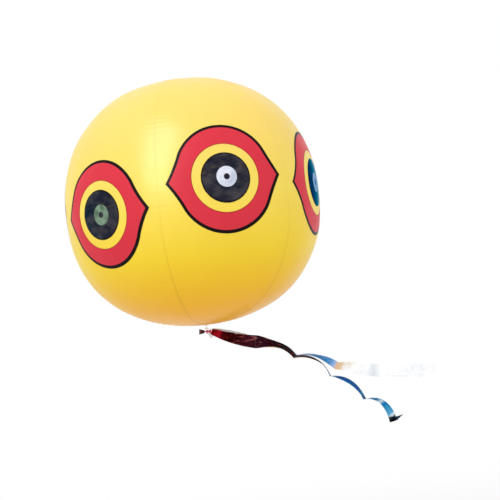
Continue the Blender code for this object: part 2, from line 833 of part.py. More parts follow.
def build():
    """Makes every piece of the ball and its streamers."""
    start_scene()
    panels = {side: make_panel(side) for side in panel_sides}
    for side, lift, shift in zip(panel_sides, eye_lift_degs, iris_shifts):
        make_eye(side, math.radians(lift), shift)
    make_cap("top_cap", 1)
    make_cap("bottom_cap", -1)
    make_valve(panels["back"])
    make_hang_tab()
    make_streamer_tab()
    make_knot()
    make_streamers()


build()
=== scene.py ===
"""Looks of the bird scare ball: fine skin, prints, fittings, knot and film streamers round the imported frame.

Lengths are in metres, in the frame's own axes: the ball's axis is Z and its front eye faces -Y.
"""
import json
import math
from contextlib import contextmanager

import bmesh
import bpy
import numpy as np
from mathutils import Matrix, Vector, noise


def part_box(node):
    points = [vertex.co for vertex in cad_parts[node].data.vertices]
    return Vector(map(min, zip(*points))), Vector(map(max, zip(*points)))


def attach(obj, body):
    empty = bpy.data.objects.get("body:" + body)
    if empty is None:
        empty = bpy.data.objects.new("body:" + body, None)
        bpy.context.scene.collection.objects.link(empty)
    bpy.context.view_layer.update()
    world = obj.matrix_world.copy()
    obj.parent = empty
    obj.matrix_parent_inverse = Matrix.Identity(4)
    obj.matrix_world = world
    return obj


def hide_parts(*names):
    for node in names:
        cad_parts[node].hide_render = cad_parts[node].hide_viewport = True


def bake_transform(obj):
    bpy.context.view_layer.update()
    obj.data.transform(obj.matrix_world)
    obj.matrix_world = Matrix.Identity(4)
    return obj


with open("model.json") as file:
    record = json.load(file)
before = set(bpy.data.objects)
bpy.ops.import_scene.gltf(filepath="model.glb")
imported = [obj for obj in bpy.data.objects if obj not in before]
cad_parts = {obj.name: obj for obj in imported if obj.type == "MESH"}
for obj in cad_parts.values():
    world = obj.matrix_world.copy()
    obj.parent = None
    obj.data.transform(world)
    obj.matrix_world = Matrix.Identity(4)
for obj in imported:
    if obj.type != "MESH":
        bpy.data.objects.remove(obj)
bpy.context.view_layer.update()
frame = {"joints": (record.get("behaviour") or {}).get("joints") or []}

# Ball, as in the part
ball_radius = 0.305
pole_height = 0.966 * ball_radius
squareness = 2.23
shoulder_taper_share = 0.018
panel_sides = ("front", "front_right", "back_right", "back", "back_left", "front_left")
valve_side = "back"
panel_flatness = 0.004
skin_thickness = 0.0003
pole_hole_radius = 0.020
cap_radius = 0.038
ball_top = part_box("top_cap")[1].z
ball_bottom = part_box("bottom_cap")[0].z
ball_centre = np.array((0, 0, (ball_top + ball_bottom) / 2))
half_panel = math.pi / len(panel_sides)
front_angle = math.radians(-90)

# Seams and unevenness of the fine skin
panel_columns = 44
panel_rows = 220
groove_depth = 0.0003
groove_width = 0.0014
pucker_height = 0.0011
pucker_reach = 0.019
pucker_length = 0.0135
swell_height = 0.0006
seam_gap = 0.00004
pucker_start = 0.003
pucker_fade = 0.03
pucker_calm_height = 0.05
pucker_calm_fade = 0.12
pucker_wander_length = 0.023
pucker_change_length = 0.037
swell_fade = 0.05

# Patches over the gore tips: rows of points as shares of the radius, rise over the skin and thickness
patch_rows = (0.0, 0.1, 0.2, 0.3, 0.4, 0.5, 0.6, 0.7, 0.8, 0.88, 0.94, 0.975, 1)
patch_steps = 96
patch_rise = 0.00012
patch_thickness = 0.00036
patch_edge = 0.00004
patch_weld_depth = 0.00014

# Eyes, as in the part, with the fine prints' thickness
eye_lift_degs = (4.6, 1.5, -2.0, 2.0, 1.0, -2.7)
iris_shifts = ((0.0019, 0.0019), (0, 0), (0, 0), (0, 0), (0, 0), (0.003, 0))
pupil_radius = 0.007
iris_radius = 0.0235
mirror_disc_radius = 0.057
yellow_ring_radius = 0.0775
eye_line_width = 0.0069
eye_arc_radius = 0.1125
eye_half_width = 0.1335
eye_arc_rise = 0.0115
eye_side_draw = 0.0014
ring_line_width = 0.0014
red_shift = (-0.0007, 0.0006)
print_rise = 0.00012
print_thickness = 0.00016
disc_thickness = 0.0004
disc_rim_start = 0.0535
disc_rim_end = 0.0555
eye_steps = 30

# Fittings, as in the part
stem_base_radius = 0.006
stem_neck_radius = 0.0052
stem_bore_radius = 0.003
stem_height = 0.013
stem_neck_height = 0.008
stem_shoulder_height = 0.002
collar_depth = 0.0022
collar_radius = 0.0078
collar_thickness = 0.0011
valve_lip_radius = 0.0021
valve_flange_radius = 0.016
plug_head_radius = 0.005
plug_head_height = 0.0024
plug_spigot_radius = 0.0027
plug_spigot_length = 0.0075
flap_radius = 0.0034
flap_thickness = 0.0007
flap_ear_reach = 0.0048
strap_ring_height = 0.0092
strap_ring_thickness = 0.0012
strap_ring_width = 0.0012
strap_radius = 0.0007
strap_reach = 0.012
strap_rise = 0.0024
seat_gap = 0.0003
tab_thickness = 0.0008
tab_lean = math.radians(8)
hang_tab_width = 0.026
hang_tab_length = 0.032
hang_tab_corner = 0.006
hang_foot_length = 0.009
eyelet_place = 0.019
eyelet_bore_radius = 0.004
eyelet_wall = 0.0003
eyelet_flange_radius = 0.008
eyelet_flange_thickness = 0.0006
eyelet_washer_thickness = 0.0005
eyelet_lip_width = 0.0012
streamer_tab_width = 0.012
streamer_tab_length = 0.0105
streamer_tab_corner = 0.003
streamer_foot_length = 0.012
streamer_hole_rise = 0.0042
streamer_hole_radius = 0.0025

# Fine parts of the fittings
valve_bore = stem_base_radius + seat_gap
valve_flange_thickness = 0.0008
valve_rim_steps = ((0, 0.0009), (0.0016, 0.0009), (0.0026, 0.00025))
valve_rim_edge = (0.00018, 0.00002)
valve_rim_share = 0.8
plug_round = 0.0005
strap_round = 0.0002
strap_half_width = 0.0012
strap_half_thickness = 0.00055
strap_bend = 0.0026
strap_overlap = 0.0002
eyelet_round = 0.0004
hang_foot_corner = 0.003
streamer_tab_lap = 0.0002
tab_edge = 0.00018
tab_sharp_deg = 40
mesh_sharp_deg = 50
corner_share = 0.45

# Knot, as in the part
film_loop_radius = 0.0034
knot_drop = 0.0085
knot_size = 0.0014
neck_end_radius = 0.0012
long_neck_reach = 0.0095
long_neck_spread = 0.0045
short_neck_reach = 0.006
start_leans = {"dark": 62, "silver": 254}
short_headings = {"dark": 176, "silver": -50}
knot_points = 120
knot_strand = 0.0010
loop_strand = 0.0009
rope_sides = 20
rope_grain = 900
rope_roughness = 0.25
rope_wide = (0.39, 0.13, 0.91)
rope_flatness = 0.6

# Streamers, as in the part: length, heading, turn, drift, bulge, end tilt and end lean of each fold
wind_turn = math.radians(-15.4)
film_width = 0.032
film_thickness = 0.00012
crease_gaps = {"dark": 0.00004, "silver": 0.00007}
short_end_length = 0.013
short_end_width = 0.013
gather_start_share = 0.36
gather_power = 0.6
fold_steps = 8
patterns = {
    "dark": (
        (0.110, -27, 0, -0.006, 0, 78, 80),
        (0.105, 8, -73, 0, 0, 17, 52),
        (0.105, 9, -87, 0, 0, 10, 170),
        (0.105, -6, -66, 0, 0, 18, 170),
        (0.094, 14, -109, 0, 0, 41, 210),
        (0.023, 22, 0, 0, 0, 41, 210),
    ),
    "silver": (
        (0.116, -16, 0, 0.035, 0, 50, 256),
        (0.105, 3, -50, 0, 0, 12, 190),
        (0.105, 10, -56, 0, 0, 36, 229),
        (0.105, 4, -20, 0, 0.005, 84, 264),
        (0.105, -3, -12, 0, 0.005, 88, 262),
        (0.028, -6, -4, 0, 0, 88, 262),
    ),
}
film_twist_degs = {"dark_film_2": 26, "dark_film_4": 12, "silver_film_3": -7}
twist_power = 0.7
fine_steps = 30
film_columns = 10
fine_pleats = 11
pleat_points = 4
film_curl = 0.0012
film_ripple = 0.0006
film_crumple = 0.0016

# Colours: over the skin's height with painted light and shade, of the irises with painted reflections, and
# along the films in metres with painted reflections
weld_edge = 0.0004
weld_reach = 0.0028
# Painted light and shade: the skin is paler towards the top and more orange towards the bottom
painted_skin_light_stops = (
    (0.0, (0.93, 0.42, 0.015)), (0.07, (0.95, 0.46, 0.015)), (0.16, (0.97, 0.57, 0.018)),
    (0.27, (0.98, 0.69, 0.030)), (0.5, (0.98, 0.745, 0.11)), (0.75, (0.95, 0.69, 0.15)),
    (1.0, (0.93, 0.665, 0.16)),
)
silver_iris = ((0.86, 0.88, 0.94), (0.70, 0.76, 0.82))
# Iris tints of the three front eyes are painted reflections of the foil; the back eyes keep plain silver
iris_painted_reflection_tints = {
    "front": ((0.80, 0.83, 0.93), (0.55, 0.60, 0.70)),
    "front_right": ((0.26, 0.44, 0.68), (0.50, 0.66, 0.86)),
    "front_left": ((0.10, 0.17, 0.10), (0.24, 0.35, 0.25)),
}
film_length = 0.56
dark_red = (0.66, 0.07, 0.13)
# Dark film's top: its own red and dark tones, with painted reflections in the blue and pale stretches, painted
# glint bands in white and painted shade in the thin dark bands by the creases
dark_top_colour_and_reflection_stops = (
    (0.0, dark_red), (0.022, dark_red), (0.04, (0.06, 0.008, 0.02)), (0.20, (0.02, 0.01, 0.03)),
    (0.29, (0.035, 0.012, 0.045)), (0.302, (0.22, 0.36, 0.50)), (0.314, (0.20, 0.32, 0.44)),
    (0.318, (0.01, 0.04, 0.12)), (0.326, (0.55, 0.72, 0.85)), (0.334, (0.004, 0.13, 0.36)),
    (0.40, (0.006, 0.17, 0.42)), (0.412, (0.10, 0.36, 0.60)), (0.418, (0.02, 0.06, 0.11)),
    (0.428, (0.10, 0.40, 0.60)), (0.455, (0.02, 0.24, 0.46)), (0.466, (0.85, 0.93, 0.98)),
    (0.474, (0.02, 0.22, 0.48)), (0.503, (0.12, 0.42, 0.66)), (0.509, (0.85, 0.92, 0.96)),
    (0.514, (0.14, 0.24, 0.28)), (0.52, (0.03, 0.016, 0.016)),
)
dark_under_stops = (
    (0.0, dark_red), (0.020, dark_red), (0.03, (0.20, 0.016, 0.03)), (0.05, (0.075, 0.008, 0.014)),
    (0.11, (0.030, 0.005, 0.010)), (0.30, (0.018, 0.004, 0.012)), (0.42, (0.03, 0.03, 0.05)),
    (0.52, (0.02, 0.012, 0.014)),
)
dark_cut_stops = ((0, (0.17, 0.075, 0.06)), (0.02, (0.10, 0.06, 0.055)))
silver_painted_flecks = (0.62, 0.66, 0.74)
silver_plain = (0.96, 0.965, 0.98)
# Silver film's top: the blue, lilac and peach stretches and the grey band are painted reflections
silver_top_colour_and_reflection_stops = (
    (0.0, (0.93, 0.94, 0.96)), (0.215, (0.93, 0.94, 0.96)), (0.222, (0.004, 0.09, 0.26)),
    (0.285, (0.006, 0.14, 0.38)), (0.305, (0.03, 0.24, 0.56)), (0.319, (0.36, 0.50, 0.80)),
    (0.324, (0.80, 0.50, 0.26)), (0.336, (0.86, 0.62, 0.40)), (0.343, (0.95, 0.93, 0.92)),
    (0.35, silver_plain), (0.4, silver_plain), (0.415, (0.78, 0.81, 0.86)), (0.43, silver_plain),
)
# Silver film's underside: the peach stretch near the knot is a painted sheen
silver_under_colour_and_sheen_stops = (
    (0.0, (0.93, 0.94, 0.96)), (0.02, (0.93, 0.90, 0.88)), (0.03, (0.90, 0.62, 0.52)),
    (0.05, (0.92, 0.70, 0.60)), (0.062, (0.95, 0.95, 0.96)), (0.5, silver_plain),
)

# Picture: the camera's place and axes against the ball's middle
camera_distance = 4.095
towards_camera = Vector((-0.265, -0.962, -0.059)).normalized()
picture_right = Vector((0.960, -0.2577, -0.1095))
focal_pixels = 1709
picture_pixels = 500
ball_pixel = (192.8, 202.2)
sensor_width = 36
floor_height = -1.45
floor_radius = 30
floor_white_start = 1.6
floor_white_end = 4.5
floor_white_share = 0.66
world_colour = (0.95, 0.97, 1.0, 1)
world_strength = 0.97


def joint(name):
    """A joint of the frame by name."""
    return next(j for j in frame["joints"] if j["name"] == name)


# Meshes
def add_object(name, data):
    """A new object in the scene."""
    made = bpy.data.objects.new(name, data)
    bpy.context.scene.collection.objects.link(made)
    return made


@contextmanager
def edited(mesh):
    """The mesh's editable form, written back when the block ends."""
    form = bmesh.new()
    form.from_mesh(mesh)
    yield form
    form.to_mesh(mesh)
    form.free()


def settled_mesh(source):
    """An object's mesh with its curve or modifiers worked out."""
    bpy.context.view_layer.update()
    return bpy.data.meshes.new_from_object(source.evaluated_get(bpy.context.evaluated_depsgraph_get()))


def add_piece(name, mesh, sharp_deg, body, node):
    """A smooth piece, sharp past an angle, that rides on a body and may replace a node."""
    mesh.shade_smooth()
    mesh.set_sharp_from_angle(angle=math.radians(sharp_deg))
    piece = add_object(name, mesh)
    if body:
        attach(piece, body)
    if node:
        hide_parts(node)
    return piece


def mesh_piece(name, points, faces, body, looks, node=None, uv=None, slots=None, weld=False):
    """A piece from points and faces; slots give each face one of two looks."""
    mesh = bpy.data.meshes.new(name)
    mesh.from_pydata([tuple(p) for p in points], [], [tuple(int(i) for i in f) for f in faces])
    if uv is not None:
        layer = mesh.uv_layers.new(name="UVMap")
        corner = np.zeros(len(mesh.loops), np.int32)
        mesh.loops.foreach_get("vertex_index", corner)
        layer.data.foreach_set("uv", np.asarray(uv, np.float32)[corner].ravel())
    for look in looks if isinstance(looks, tuple) else (looks,):
        mesh.materials.append(look)
    if slots is not None:
        mesh.polygons.foreach_set("material_index", np.asarray(slots, np.int32))
    if weld:
        with edited(mesh) as form:
            bmesh.ops.remove_doubles(form, verts=form.verts[:], dist=1e-7)
            bmesh.ops.dissolve_degenerate(form, edges=form.edges[:], dist=1e-8)
    return add_piece(name, mesh, mesh_sharp_deg, body, node)


def grid_faces(rows, columns, round_columns=False, round_rows=False):
    """Quads between the points of a grid, which may close on itself, and the grid of indices."""
    index = np.arange(rows * columns).reshape(rows, columns)
    if round_columns:
        index = np.hstack([index, index[:, :1]])
    if round_rows:
        index = np.vstack([index, index[:1]])
    corners = [index[:-1, :-1], index[:-1, 1:], index[1:, 1:], index[1:, :-1]]
    return np.stack(corners, -1).reshape(-1, 4), index


def shell_faces(rows, columns, closed):
    """Faces of a closed shell between an outer and an inner grid of points, and each face's look."""
    size = rows * columns
    outer, index = grid_faces(rows, columns, closed)
    inner = outer[:, ::-1] + size
    edges = [(index[0, 1:], index[0, :-1]), (index[-1, :-1], index[-1, 1:])]
    if not closed:
        edges += [(index[:-1, 0], index[1:, 0]), (index[1:, -1], index[:-1, -1])]
    walls = np.concatenate([np.stack([a, b, b + size, a + size], -1) for a, b in edges])
    slots = np.concatenate([np.zeros(len(outer)), np.ones(len(inner)), np.zeros(len(walls))])
    return np.concatenate([outer, inner, walls]), slots


def shell_piece(name, outer, inner, body, looks, node=None, closed=False, uv=None, weld=False):
    """Closed shell between two grids; a second look goes on its inner side."""
    faces, slots = shell_faces(*outer.shape[:2], closed)
    points = np.concatenate([outer.reshape(-1, 3), inner.reshape(-1, 3)])
    if uv is not None:
        uv = np.concatenate([uv.reshape(-1, 2)] * 2)
    slots = slots if isinstance(looks, tuple) else None
    return mesh_piece(name, points, faces, body, looks, node, uv, slots, weld)


def tube_piece(name, rings, body, look, node=None, closed=False):
    """Tube through rings of points, with flat ends unless it closes on itself."""
    rings = np.array(rings)
    count, sides = rings.shape[:2]
    faces = list(grid_faces(count, sides, True, closed)[0])
    if not closed:
        faces.append(range(sides)[::-1])
        faces.append(range((count - 1) * sides, count * sides))
    return mesh_piece(name, rings.reshape(-1, 3), faces, body, look, node)


def unit_rows(vectors):
    """Vectors along the last axis of an array, each scaled to length 1."""
    return vectors / np.linalg.norm(vectors, axis=-1, keepdims=True)


def axes_matrix(*axes):
    """Matrix that turns X, Y and Z onto three given directions."""
    return Matrix(axes).transposed().to_4x4()


def grid_normals(grid):
    """Unit normals of a grid of points."""
    return unit_rows(np.cross(np.gradient(grid, axis=1), np.gradient(grid, axis=0)))


def directions_along(line):
    """Unit directions along a line of points."""
    return unit_rows(np.gradient(line, axis=0))


def round_corners(points, radius, steps=4):
    """Polyline with each inner corner turned into a small curve."""
    points = [np.array(p, float) for p in points]
    rounded = [points[0]]
    for before, corner, after in zip(points, points[1:], points[2:]):
        back, on = np.linalg.norm(before - corner), np.linalg.norm(after - corner)
        room = min(radius, back * corner_share, on * corner_share)
        start = corner + (before - corner) / back * room
        end = corner + (after - corner) / on * room
        for t in (i / steps for i in range(steps + 1)):
            rounded.append((1 - t) ** 2 * start + 2 * t * (1 - t) * corner + t * t * end)
    return rounded + [points[-1]]


def turned_piece(name, profile, place, body, look, node=None, ring=False, steps=72, rounding=0.0003):
    """Turns a profile of radius and height about Z; a ring's profile closes on itself."""
    if ring:
        middle = (np.array(profile[0], float) + np.array(profile[-1], float)) / 2
        profile = [middle] + list(profile) + [middle]
    line = round_corners(profile, rounding)
    if ring:
        line = line[:-1]
    angles = np.arange(steps) * math.tau / steps
    points = [place @ Vector((r * math.cos(a), r * math.sin(a), h)) for r, h in line for a in angles]
    faces = grid_faces(len(line), steps, True, ring)[0][:, ::-1]
    return mesh_piece(name, points, faces, body, look, node, weld=not ring)


def outline_piece(name, outlines, place, body, look, node):
    """Flat piece of vinyl from closed outlines with softly rounded edges; inner outlines are holes."""
    curve = bpy.data.curves.new(name, "CURVE")
    curve.dimensions = "2D"
    curve.fill_mode = "BOTH"
    curve.extrude = tab_thickness / 2 - tab_edge
    curve.bevel_depth = tab_edge
    curve.bevel_resolution = 2
    curve.offset = -tab_edge
    for outline in outlines:
        spline = curve.splines.new("POLY")
        spline.points.add(len(outline) - 1)
        for point, (x, y) in zip(spline.points, outline):
            point.co = (x, y, 0, 1)
        spline.use_cyclic_u = True
    source = add_object(name + "_curve", curve)
    mesh = settled_mesh(source)
    bpy.data.objects.remove(source)
    with edited(mesh) as form:
        bmesh.ops.remove_doubles(form, verts=form.verts[:], dist=1e-6)
        bmesh.ops.recalc_face_normals(form, faces=form.faces[:])
        form.transform(place)
    mesh.name = name
    mesh.materials.clear()
    mesh.materials.append(look)
    return add_piece(name, mesh, tab_sharp_deg, body, node)


def circle_points(radius, steps=48, x=0, y=0):
    """Corners of a round outline."""
    angles = [math.tau * i / steps for i in range(steps)]
    return [(x + radius * math.cos(a), y + radius * math.sin(a)) for a in angles]


def tab_outline(width, start, end, corner):
    """Outline of a tab that runs along Y, with two round corners at its end."""
    half = width / 2
    arc = [math.pi / 2 * i / 10 for i in range(11)]
    right = [(half - corner + corner * math.cos(a), end - corner + corner * math.sin(a)) for a in arc]
    return [(-half, start), (half, start)] + right + [(-x, y) for x, y in reversed(right)]


# Skin
def skin_profile(lift):
    """Distance from the axis and height over the ball's middle at an angle above the equator."""
    power = 2 / squareness
    radius = ball_radius * np.cos(lift) ** power * (1 - shoulder_taper_share * np.sin(lift))
    height = pole_height * np.copysign(np.abs(np.sin(lift)) ** power, lift)
    return radius, height


last_lift = math.acos((pole_hole_radius / ball_radius) ** (squareness / 2))
hinge = joint("check_flap_hinge")
valve_out = Vector(joint("valve_push")["axis"])
valve_up = -Vector(hinge["axis"])
valve_frame = axes_matrix(valve_up.cross(valve_out), valve_up, valve_out)
flap_height = -collar_depth - collar_thickness - seat_gap - flap_thickness / 2
flap_place = valve_frame.to_3x3() @ Vector((flap_ear_reach, 0, flap_height))
valve_frame.translation = Vector(hinge["pos_m"]) - flap_place
tab_top = joint("streamer_tab_twist")["pos_m"][2]
knot_height = tab_top - streamer_tab_length + streamer_hole_rise - knot_drop
wind_frame = Matrix.Rotation(wind_turn, 4, "Z") @ Matrix.Translation((0, 0, knot_height))


def smooth_share(value):
    """Eases a share from 0 to 1."""
    value = np.clip(value, 0, 1)
    return value * value * (3 - 2 * value)


def gore_place(points):
    """For points from the ball's middle: the share across their panel, and the panel's number."""
    position = (np.arctan2(points[:, 1], points[:, 0]) - front_angle) / (2 * half_panel)
    across = 2 * (position - np.round(position))
    return across, np.floor(position) % len(panel_sides)


def past_cap(radius, fade):
    """Share that rises from 0 at the cap's edge to 1 a fade further out."""
    return smooth_share((radius - cap_radius) / fade)


def skin_reach(points):
    """Distance from the ball's middle to the outer face of the skin in the direction of each point."""
    unit = unit_rows(points)
    flat = np.hypot(unit[:, 0], unit[:, 1])
    widest = np.full(len(unit), ball_radius)
    for _ in range(4):
        powers = (flat / widest) ** squareness + (np.abs(unit[:, 2]) / pole_height) ** squareness
        reach = powers ** (-1 / squareness)
        height_share = np.abs(unit[:, 2]) * reach / pole_height
        lift_sine = np.sign(unit[:, 2]) * height_share ** (squareness / 2)
        widest = ball_radius * (1 - shoulder_taper_share * lift_sine)
    radius = reach * flat
    across, seam = gore_place(unit)
    fade = np.clip((radius - cap_radius) / (ball_radius - cap_radius), 0, 1)
    sink = panel_flatness * np.cos(across * math.pi / 2) ** 2 * fade
    from_seam = (1 - np.abs(across)) * half_panel * radius
    groove = groove_depth * np.exp(-((from_seam / groove_width) ** 2)) * smooth_share(radius / cap_radius - 1)
    along = np.arctan2(unit[:, 2], flat) * ball_radius
    wander = 1.3 * np.sin(along / pucker_wander_length + 2 * seam)
    wave = np.sin(math.tau * along / pucker_length + 1.7 * seam + wander)
    low_or_high = smooth_share((np.abs(along) - pucker_calm_height) / pucker_calm_fade)
    strength = 0.25 + 0.45 * low_or_high + 0.3 * np.sin(along / pucker_change_length + 2.9 * seam)
    near = np.exp(-from_seam / pucker_reach) * (1 - np.exp(-((from_seam / pucker_start) ** 2)))
    pucker = pucker_height * wave * strength * near * past_cap(radius, pucker_fade)
    x, y, z = unit.T
    swell = np.sin(7.3 * x + 2.1 * z) * np.sin(6.1 * y - 3.7 * z + 0.8)
    swell = swell + 0.6 * np.sin(11.9 * z + 5.3 * x - 4.1 * y)
    reach = reach - sink - groove + pucker + swell_height * swell * past_cap(radius, swell_fade)
    return flatten_at_valve(unit, reach)


def flatten_at_valve(unit, reach):
    """Draws the skin onto the plane of the valve's flange, as its weld does."""
    out = np.array(valve_out)
    middle = np.array(valve_frame.translation) - ball_centre
    facing = unit @ out
    plane = (middle @ out) / np.where(facing > 0.1, facing, 0.1)
    aside = np.linalg.norm(unit * reach[:, None] - middle, axis=1)
    share = 1 - smooth_share((aside - 1.1 * valve_flange_radius) / (1.6 * valve_flange_radius))
    return np.where(facing > 0.1, reach * (1 - share) + plane * share, reach)


def side_angle(side):
    """Direction of a panel's middle seen from above."""
    return front_angle + 2 * half_panel * panel_sides.index(side)


def skin_layers(directions, rise, thickness):
    """Outer and inner grids of a layer that lies a rise above the skin."""
    shape = directions.shape
    unit = unit_rows(directions.reshape(-1, 3))
    reach = skin_reach(unit)[:, None] + rise
    thickness = np.broadcast_to(thickness, shape[:-1]).reshape(-1, 1)
    outer = ball_centre + unit * (reach + thickness)
    inner = ball_centre + unit * reach
    return outer.reshape(shape), inner.reshape(shape)


def make_panel(side, look):
    """One gore panel as a fine shell."""
    lifts = last_lift * np.linspace(-1, 1, panel_rows + 1)
    spread = np.linspace(-1, 1, panel_columns + 1)
    across = np.sin(spread * math.pi / 2) * 0.6 + spread * 0.4
    radius, height = (values[:, None] for values in skin_profile(lifts))
    turn = across[None, :] * (half_panel - seam_gap / radius) + side_angle(side)
    grid = np.stack([radius * np.cos(turn), radius * np.sin(turn), height + 0 * turn], -1)
    outer, inner = skin_layers(grid, -skin_thickness, skin_thickness)
    from_seam = (1 - np.abs(across))[None, :] * half_panel * radius
    uv = np.stack([from_seam, (height / pole_height + 1) / 2 + 0 * turn], -1)
    panel = shell_piece(f"{side}_skin", outer, inner, "ball", look, f"{side}_panel", uv=uv)
    if side == valve_side:
        cut_valve_hole(panel)
    return panel


def cut_valve_hole(panel):
    """Cuts the hole that the valve's stem slides through."""
    mesh = bpy.data.meshes.new("valve_hole")
    with edited(mesh) as form:
        bmesh.ops.create_cone(
            form, cap_ends=True, segments=48, radius1=valve_bore, radius2=valve_bore,
            depth=2 * stem_height, matrix=valve_frame,
        )
    cutter = add_object("valve_hole", mesh)
    change = panel.modifiers.new("valve_hole", "BOOLEAN")
    change.operation = "DIFFERENCE"
    change.solver = "EXACT"
    change.object = cutter
    cut = settled_mesh(panel)
    panel.modifiers.clear()
    panel.data = cut
    bpy.data.objects.remove(cutter)


def make_cap(name, upright, look, node):
    """Round patch over the gore tips, following the skin, with a weld pressed in near its edge."""
    shares = np.array(patch_rows)
    radii = cap_radius * shares[:, None]
    turns = (np.arange(patch_steps) * math.tau / patch_steps)[None, :]
    widest = ball_radius * (1 - shoulder_taper_share * upright)
    height = pole_height * (1 - (radii / widest) ** squareness) ** (1 / squareness)
    grid = np.stack([radii * np.cos(turns), radii * np.sin(turns), upright * height + 0 * turns], -1)
    edge = np.sqrt(np.clip(1 - ((shares - 0.94) / 0.06).clip(0, 1) ** 2, 0, 1))
    weld = smooth_share((shares - 0.78) / 0.04) * (1 - smooth_share((shares - 0.9) / 0.03))
    thickness = patch_thickness * edge + patch_edge - patch_weld_depth * weld
    outer, inner = skin_layers(grid, patch_rise, thickness[:, None])
    order = slice(None, None, -1) if upright > 0 else slice(None)
    return shell_piece(name, outer[order], inner[order], "ball", look, node, closed=True, weld=True)


# Eyes
def eye_frame(side, lift):
    """Origin and axes on a panel's middle line: right, up and out of the skin."""
    step = math.radians(0.5)
    radius_low, height_low = skin_profile(lift - step)
    radius_high, height_high = skin_profile(lift + step)
    slope = np.array((height_high - height_low, radius_low - radius_high))
    outwards, upwards = slope / np.linalg.norm(slope)
    turn = side_angle(side)
    out = np.array((math.cos(turn) * outwards, math.sin(turn) * outwards, upwards))
    right = np.cross((0, 0, 1), out)
    right = right / np.linalg.norm(right)
    radius, height = skin_profile(lift)
    origin = np.array((math.cos(turn) * radius, math.sin(turn) * radius, height))
    sink = panel_flatness * (radius - cap_radius) / (ball_radius - cap_radius)
    origin = origin * (1 - sink / np.linalg.norm(origin))
    return origin, right, np.cross(out, right), out


def rays_through(place, flat):
    """Directions from the ball's middle to the skin right behind flat points of an eye's drawing."""
    origin, right, up, out = place
    x, y = flat[..., 0, None], flat[..., 1, None]
    ray = (origin + x * right + y * up).reshape(-1, 3)
    for _ in range(7):
        reach = np.linalg.norm(ray, axis=1)
        over = reach - skin_reach(ray)
        ray = ray - out * (over / ((ray @ out) / reach))[:, None]
    return ray.reshape(flat.shape[:-1] + (3,))


def eye_outline(inset):
    """Outline of two arcs drawn out to a point at each side, moved in by an inset."""
    middle = math.hypot(eye_half_width, eye_arc_rise)
    start = math.acos(eye_arc_radius / middle) - math.atan2(eye_arc_rise, eye_half_width)
    radius = eye_arc_radius - inset
    tip = eye_half_width - inset / math.cos(start)
    angles = np.linspace(start, math.pi - start, 2 * eye_steps + 1)
    upper = np.stack([radius * np.cos(angles), eye_arc_rise + radius * np.sin(angles)], -1)
    share = np.linspace(0, 1, 9)[:-1, None]
    side = np.array((tip, 0)) * (1 - share) + upper[0] * share
    inwards = -np.array((math.cos(start), math.sin(start)))
    side = side + inwards * eye_side_draw * 4 * share * (1 - share)
    left = (side * (-1, 1))[::-1]
    half = np.concatenate([side, upper, left])[:-1]
    return np.concatenate([half, -half])


def ring_grid(inner, outer, rows):
    """Rows of points between two closed lines."""
    share = np.linspace(0, 1, rows + 1)[:, None, None]
    return inner[None] * (1 - share) + outer[None] * share


def circle_like(line, radius):
    """Circle whose points face those of another closed line."""
    angles = np.arctan2(line[:, 1], line[:, 0])
    return np.stack([radius * np.cos(angles), radius * np.sin(angles)], -1)


def make_print(name, place, flat, rise, thickness, look, node=None, centre=False):
    """A printed or bonded layer on the skin from a grid of flat points."""
    outer, inner = skin_layers(rays_through(place, flat), rise, thickness)
    uv = np.asarray(flat)[::-1]
    return shell_piece(name, outer[::-1], inner[::-1], "ball", look, node, closed=True, uv=uv, weld=centre)


def make_eye(side, lift, shift, looks):
    """Black outline, red field, dark line round the yellow ring, mirror disc and iris ring."""
    place = eye_frame(side, lift)
    inner_line = eye_outline(eye_line_width) + np.array(red_shift)
    round_line = np.array(circle_points(1, 144))
    outline = ring_grid(inner_line, eye_outline(0), 3)
    field = ring_grid(circle_like(inner_line, yellow_ring_radius), inner_line, 9)
    edge = ring_grid(round_line * yellow_ring_radius, round_line * (yellow_ring_radius + ring_line_width), 1)
    disc = ring_grid(round_line * 0, round_line * mirror_disc_radius, 14)
    iris = ring_grid(round_line * pupil_radius, round_line * iris_radius, 5) + np.array(shift)
    layer = (print_rise, print_thickness)
    make_print(f"{side}_outline", place, outline, *layer, looks["black"], f"{side}_eye_outline")
    make_print(f"{side}_red_field", place, field, *layer, looks["red"], f"{side}_eye_field")
    layer = (print_rise + print_thickness, print_thickness / 2)
    make_print(f"{side}_ring_line", place, edge, *layer, looks["line"])
    layer = (print_rise, disc_thickness)
    make_print(f"{side}_disc", place, disc, *layer, looks["disc"], f"{side}_mirror_disc", centre=True)
    layer = (print_rise + disc_thickness, print_thickness)
    make_print(f"{side}_iris_ring", place, iris, *layer, looks["iris"][side], f"{side}_iris")


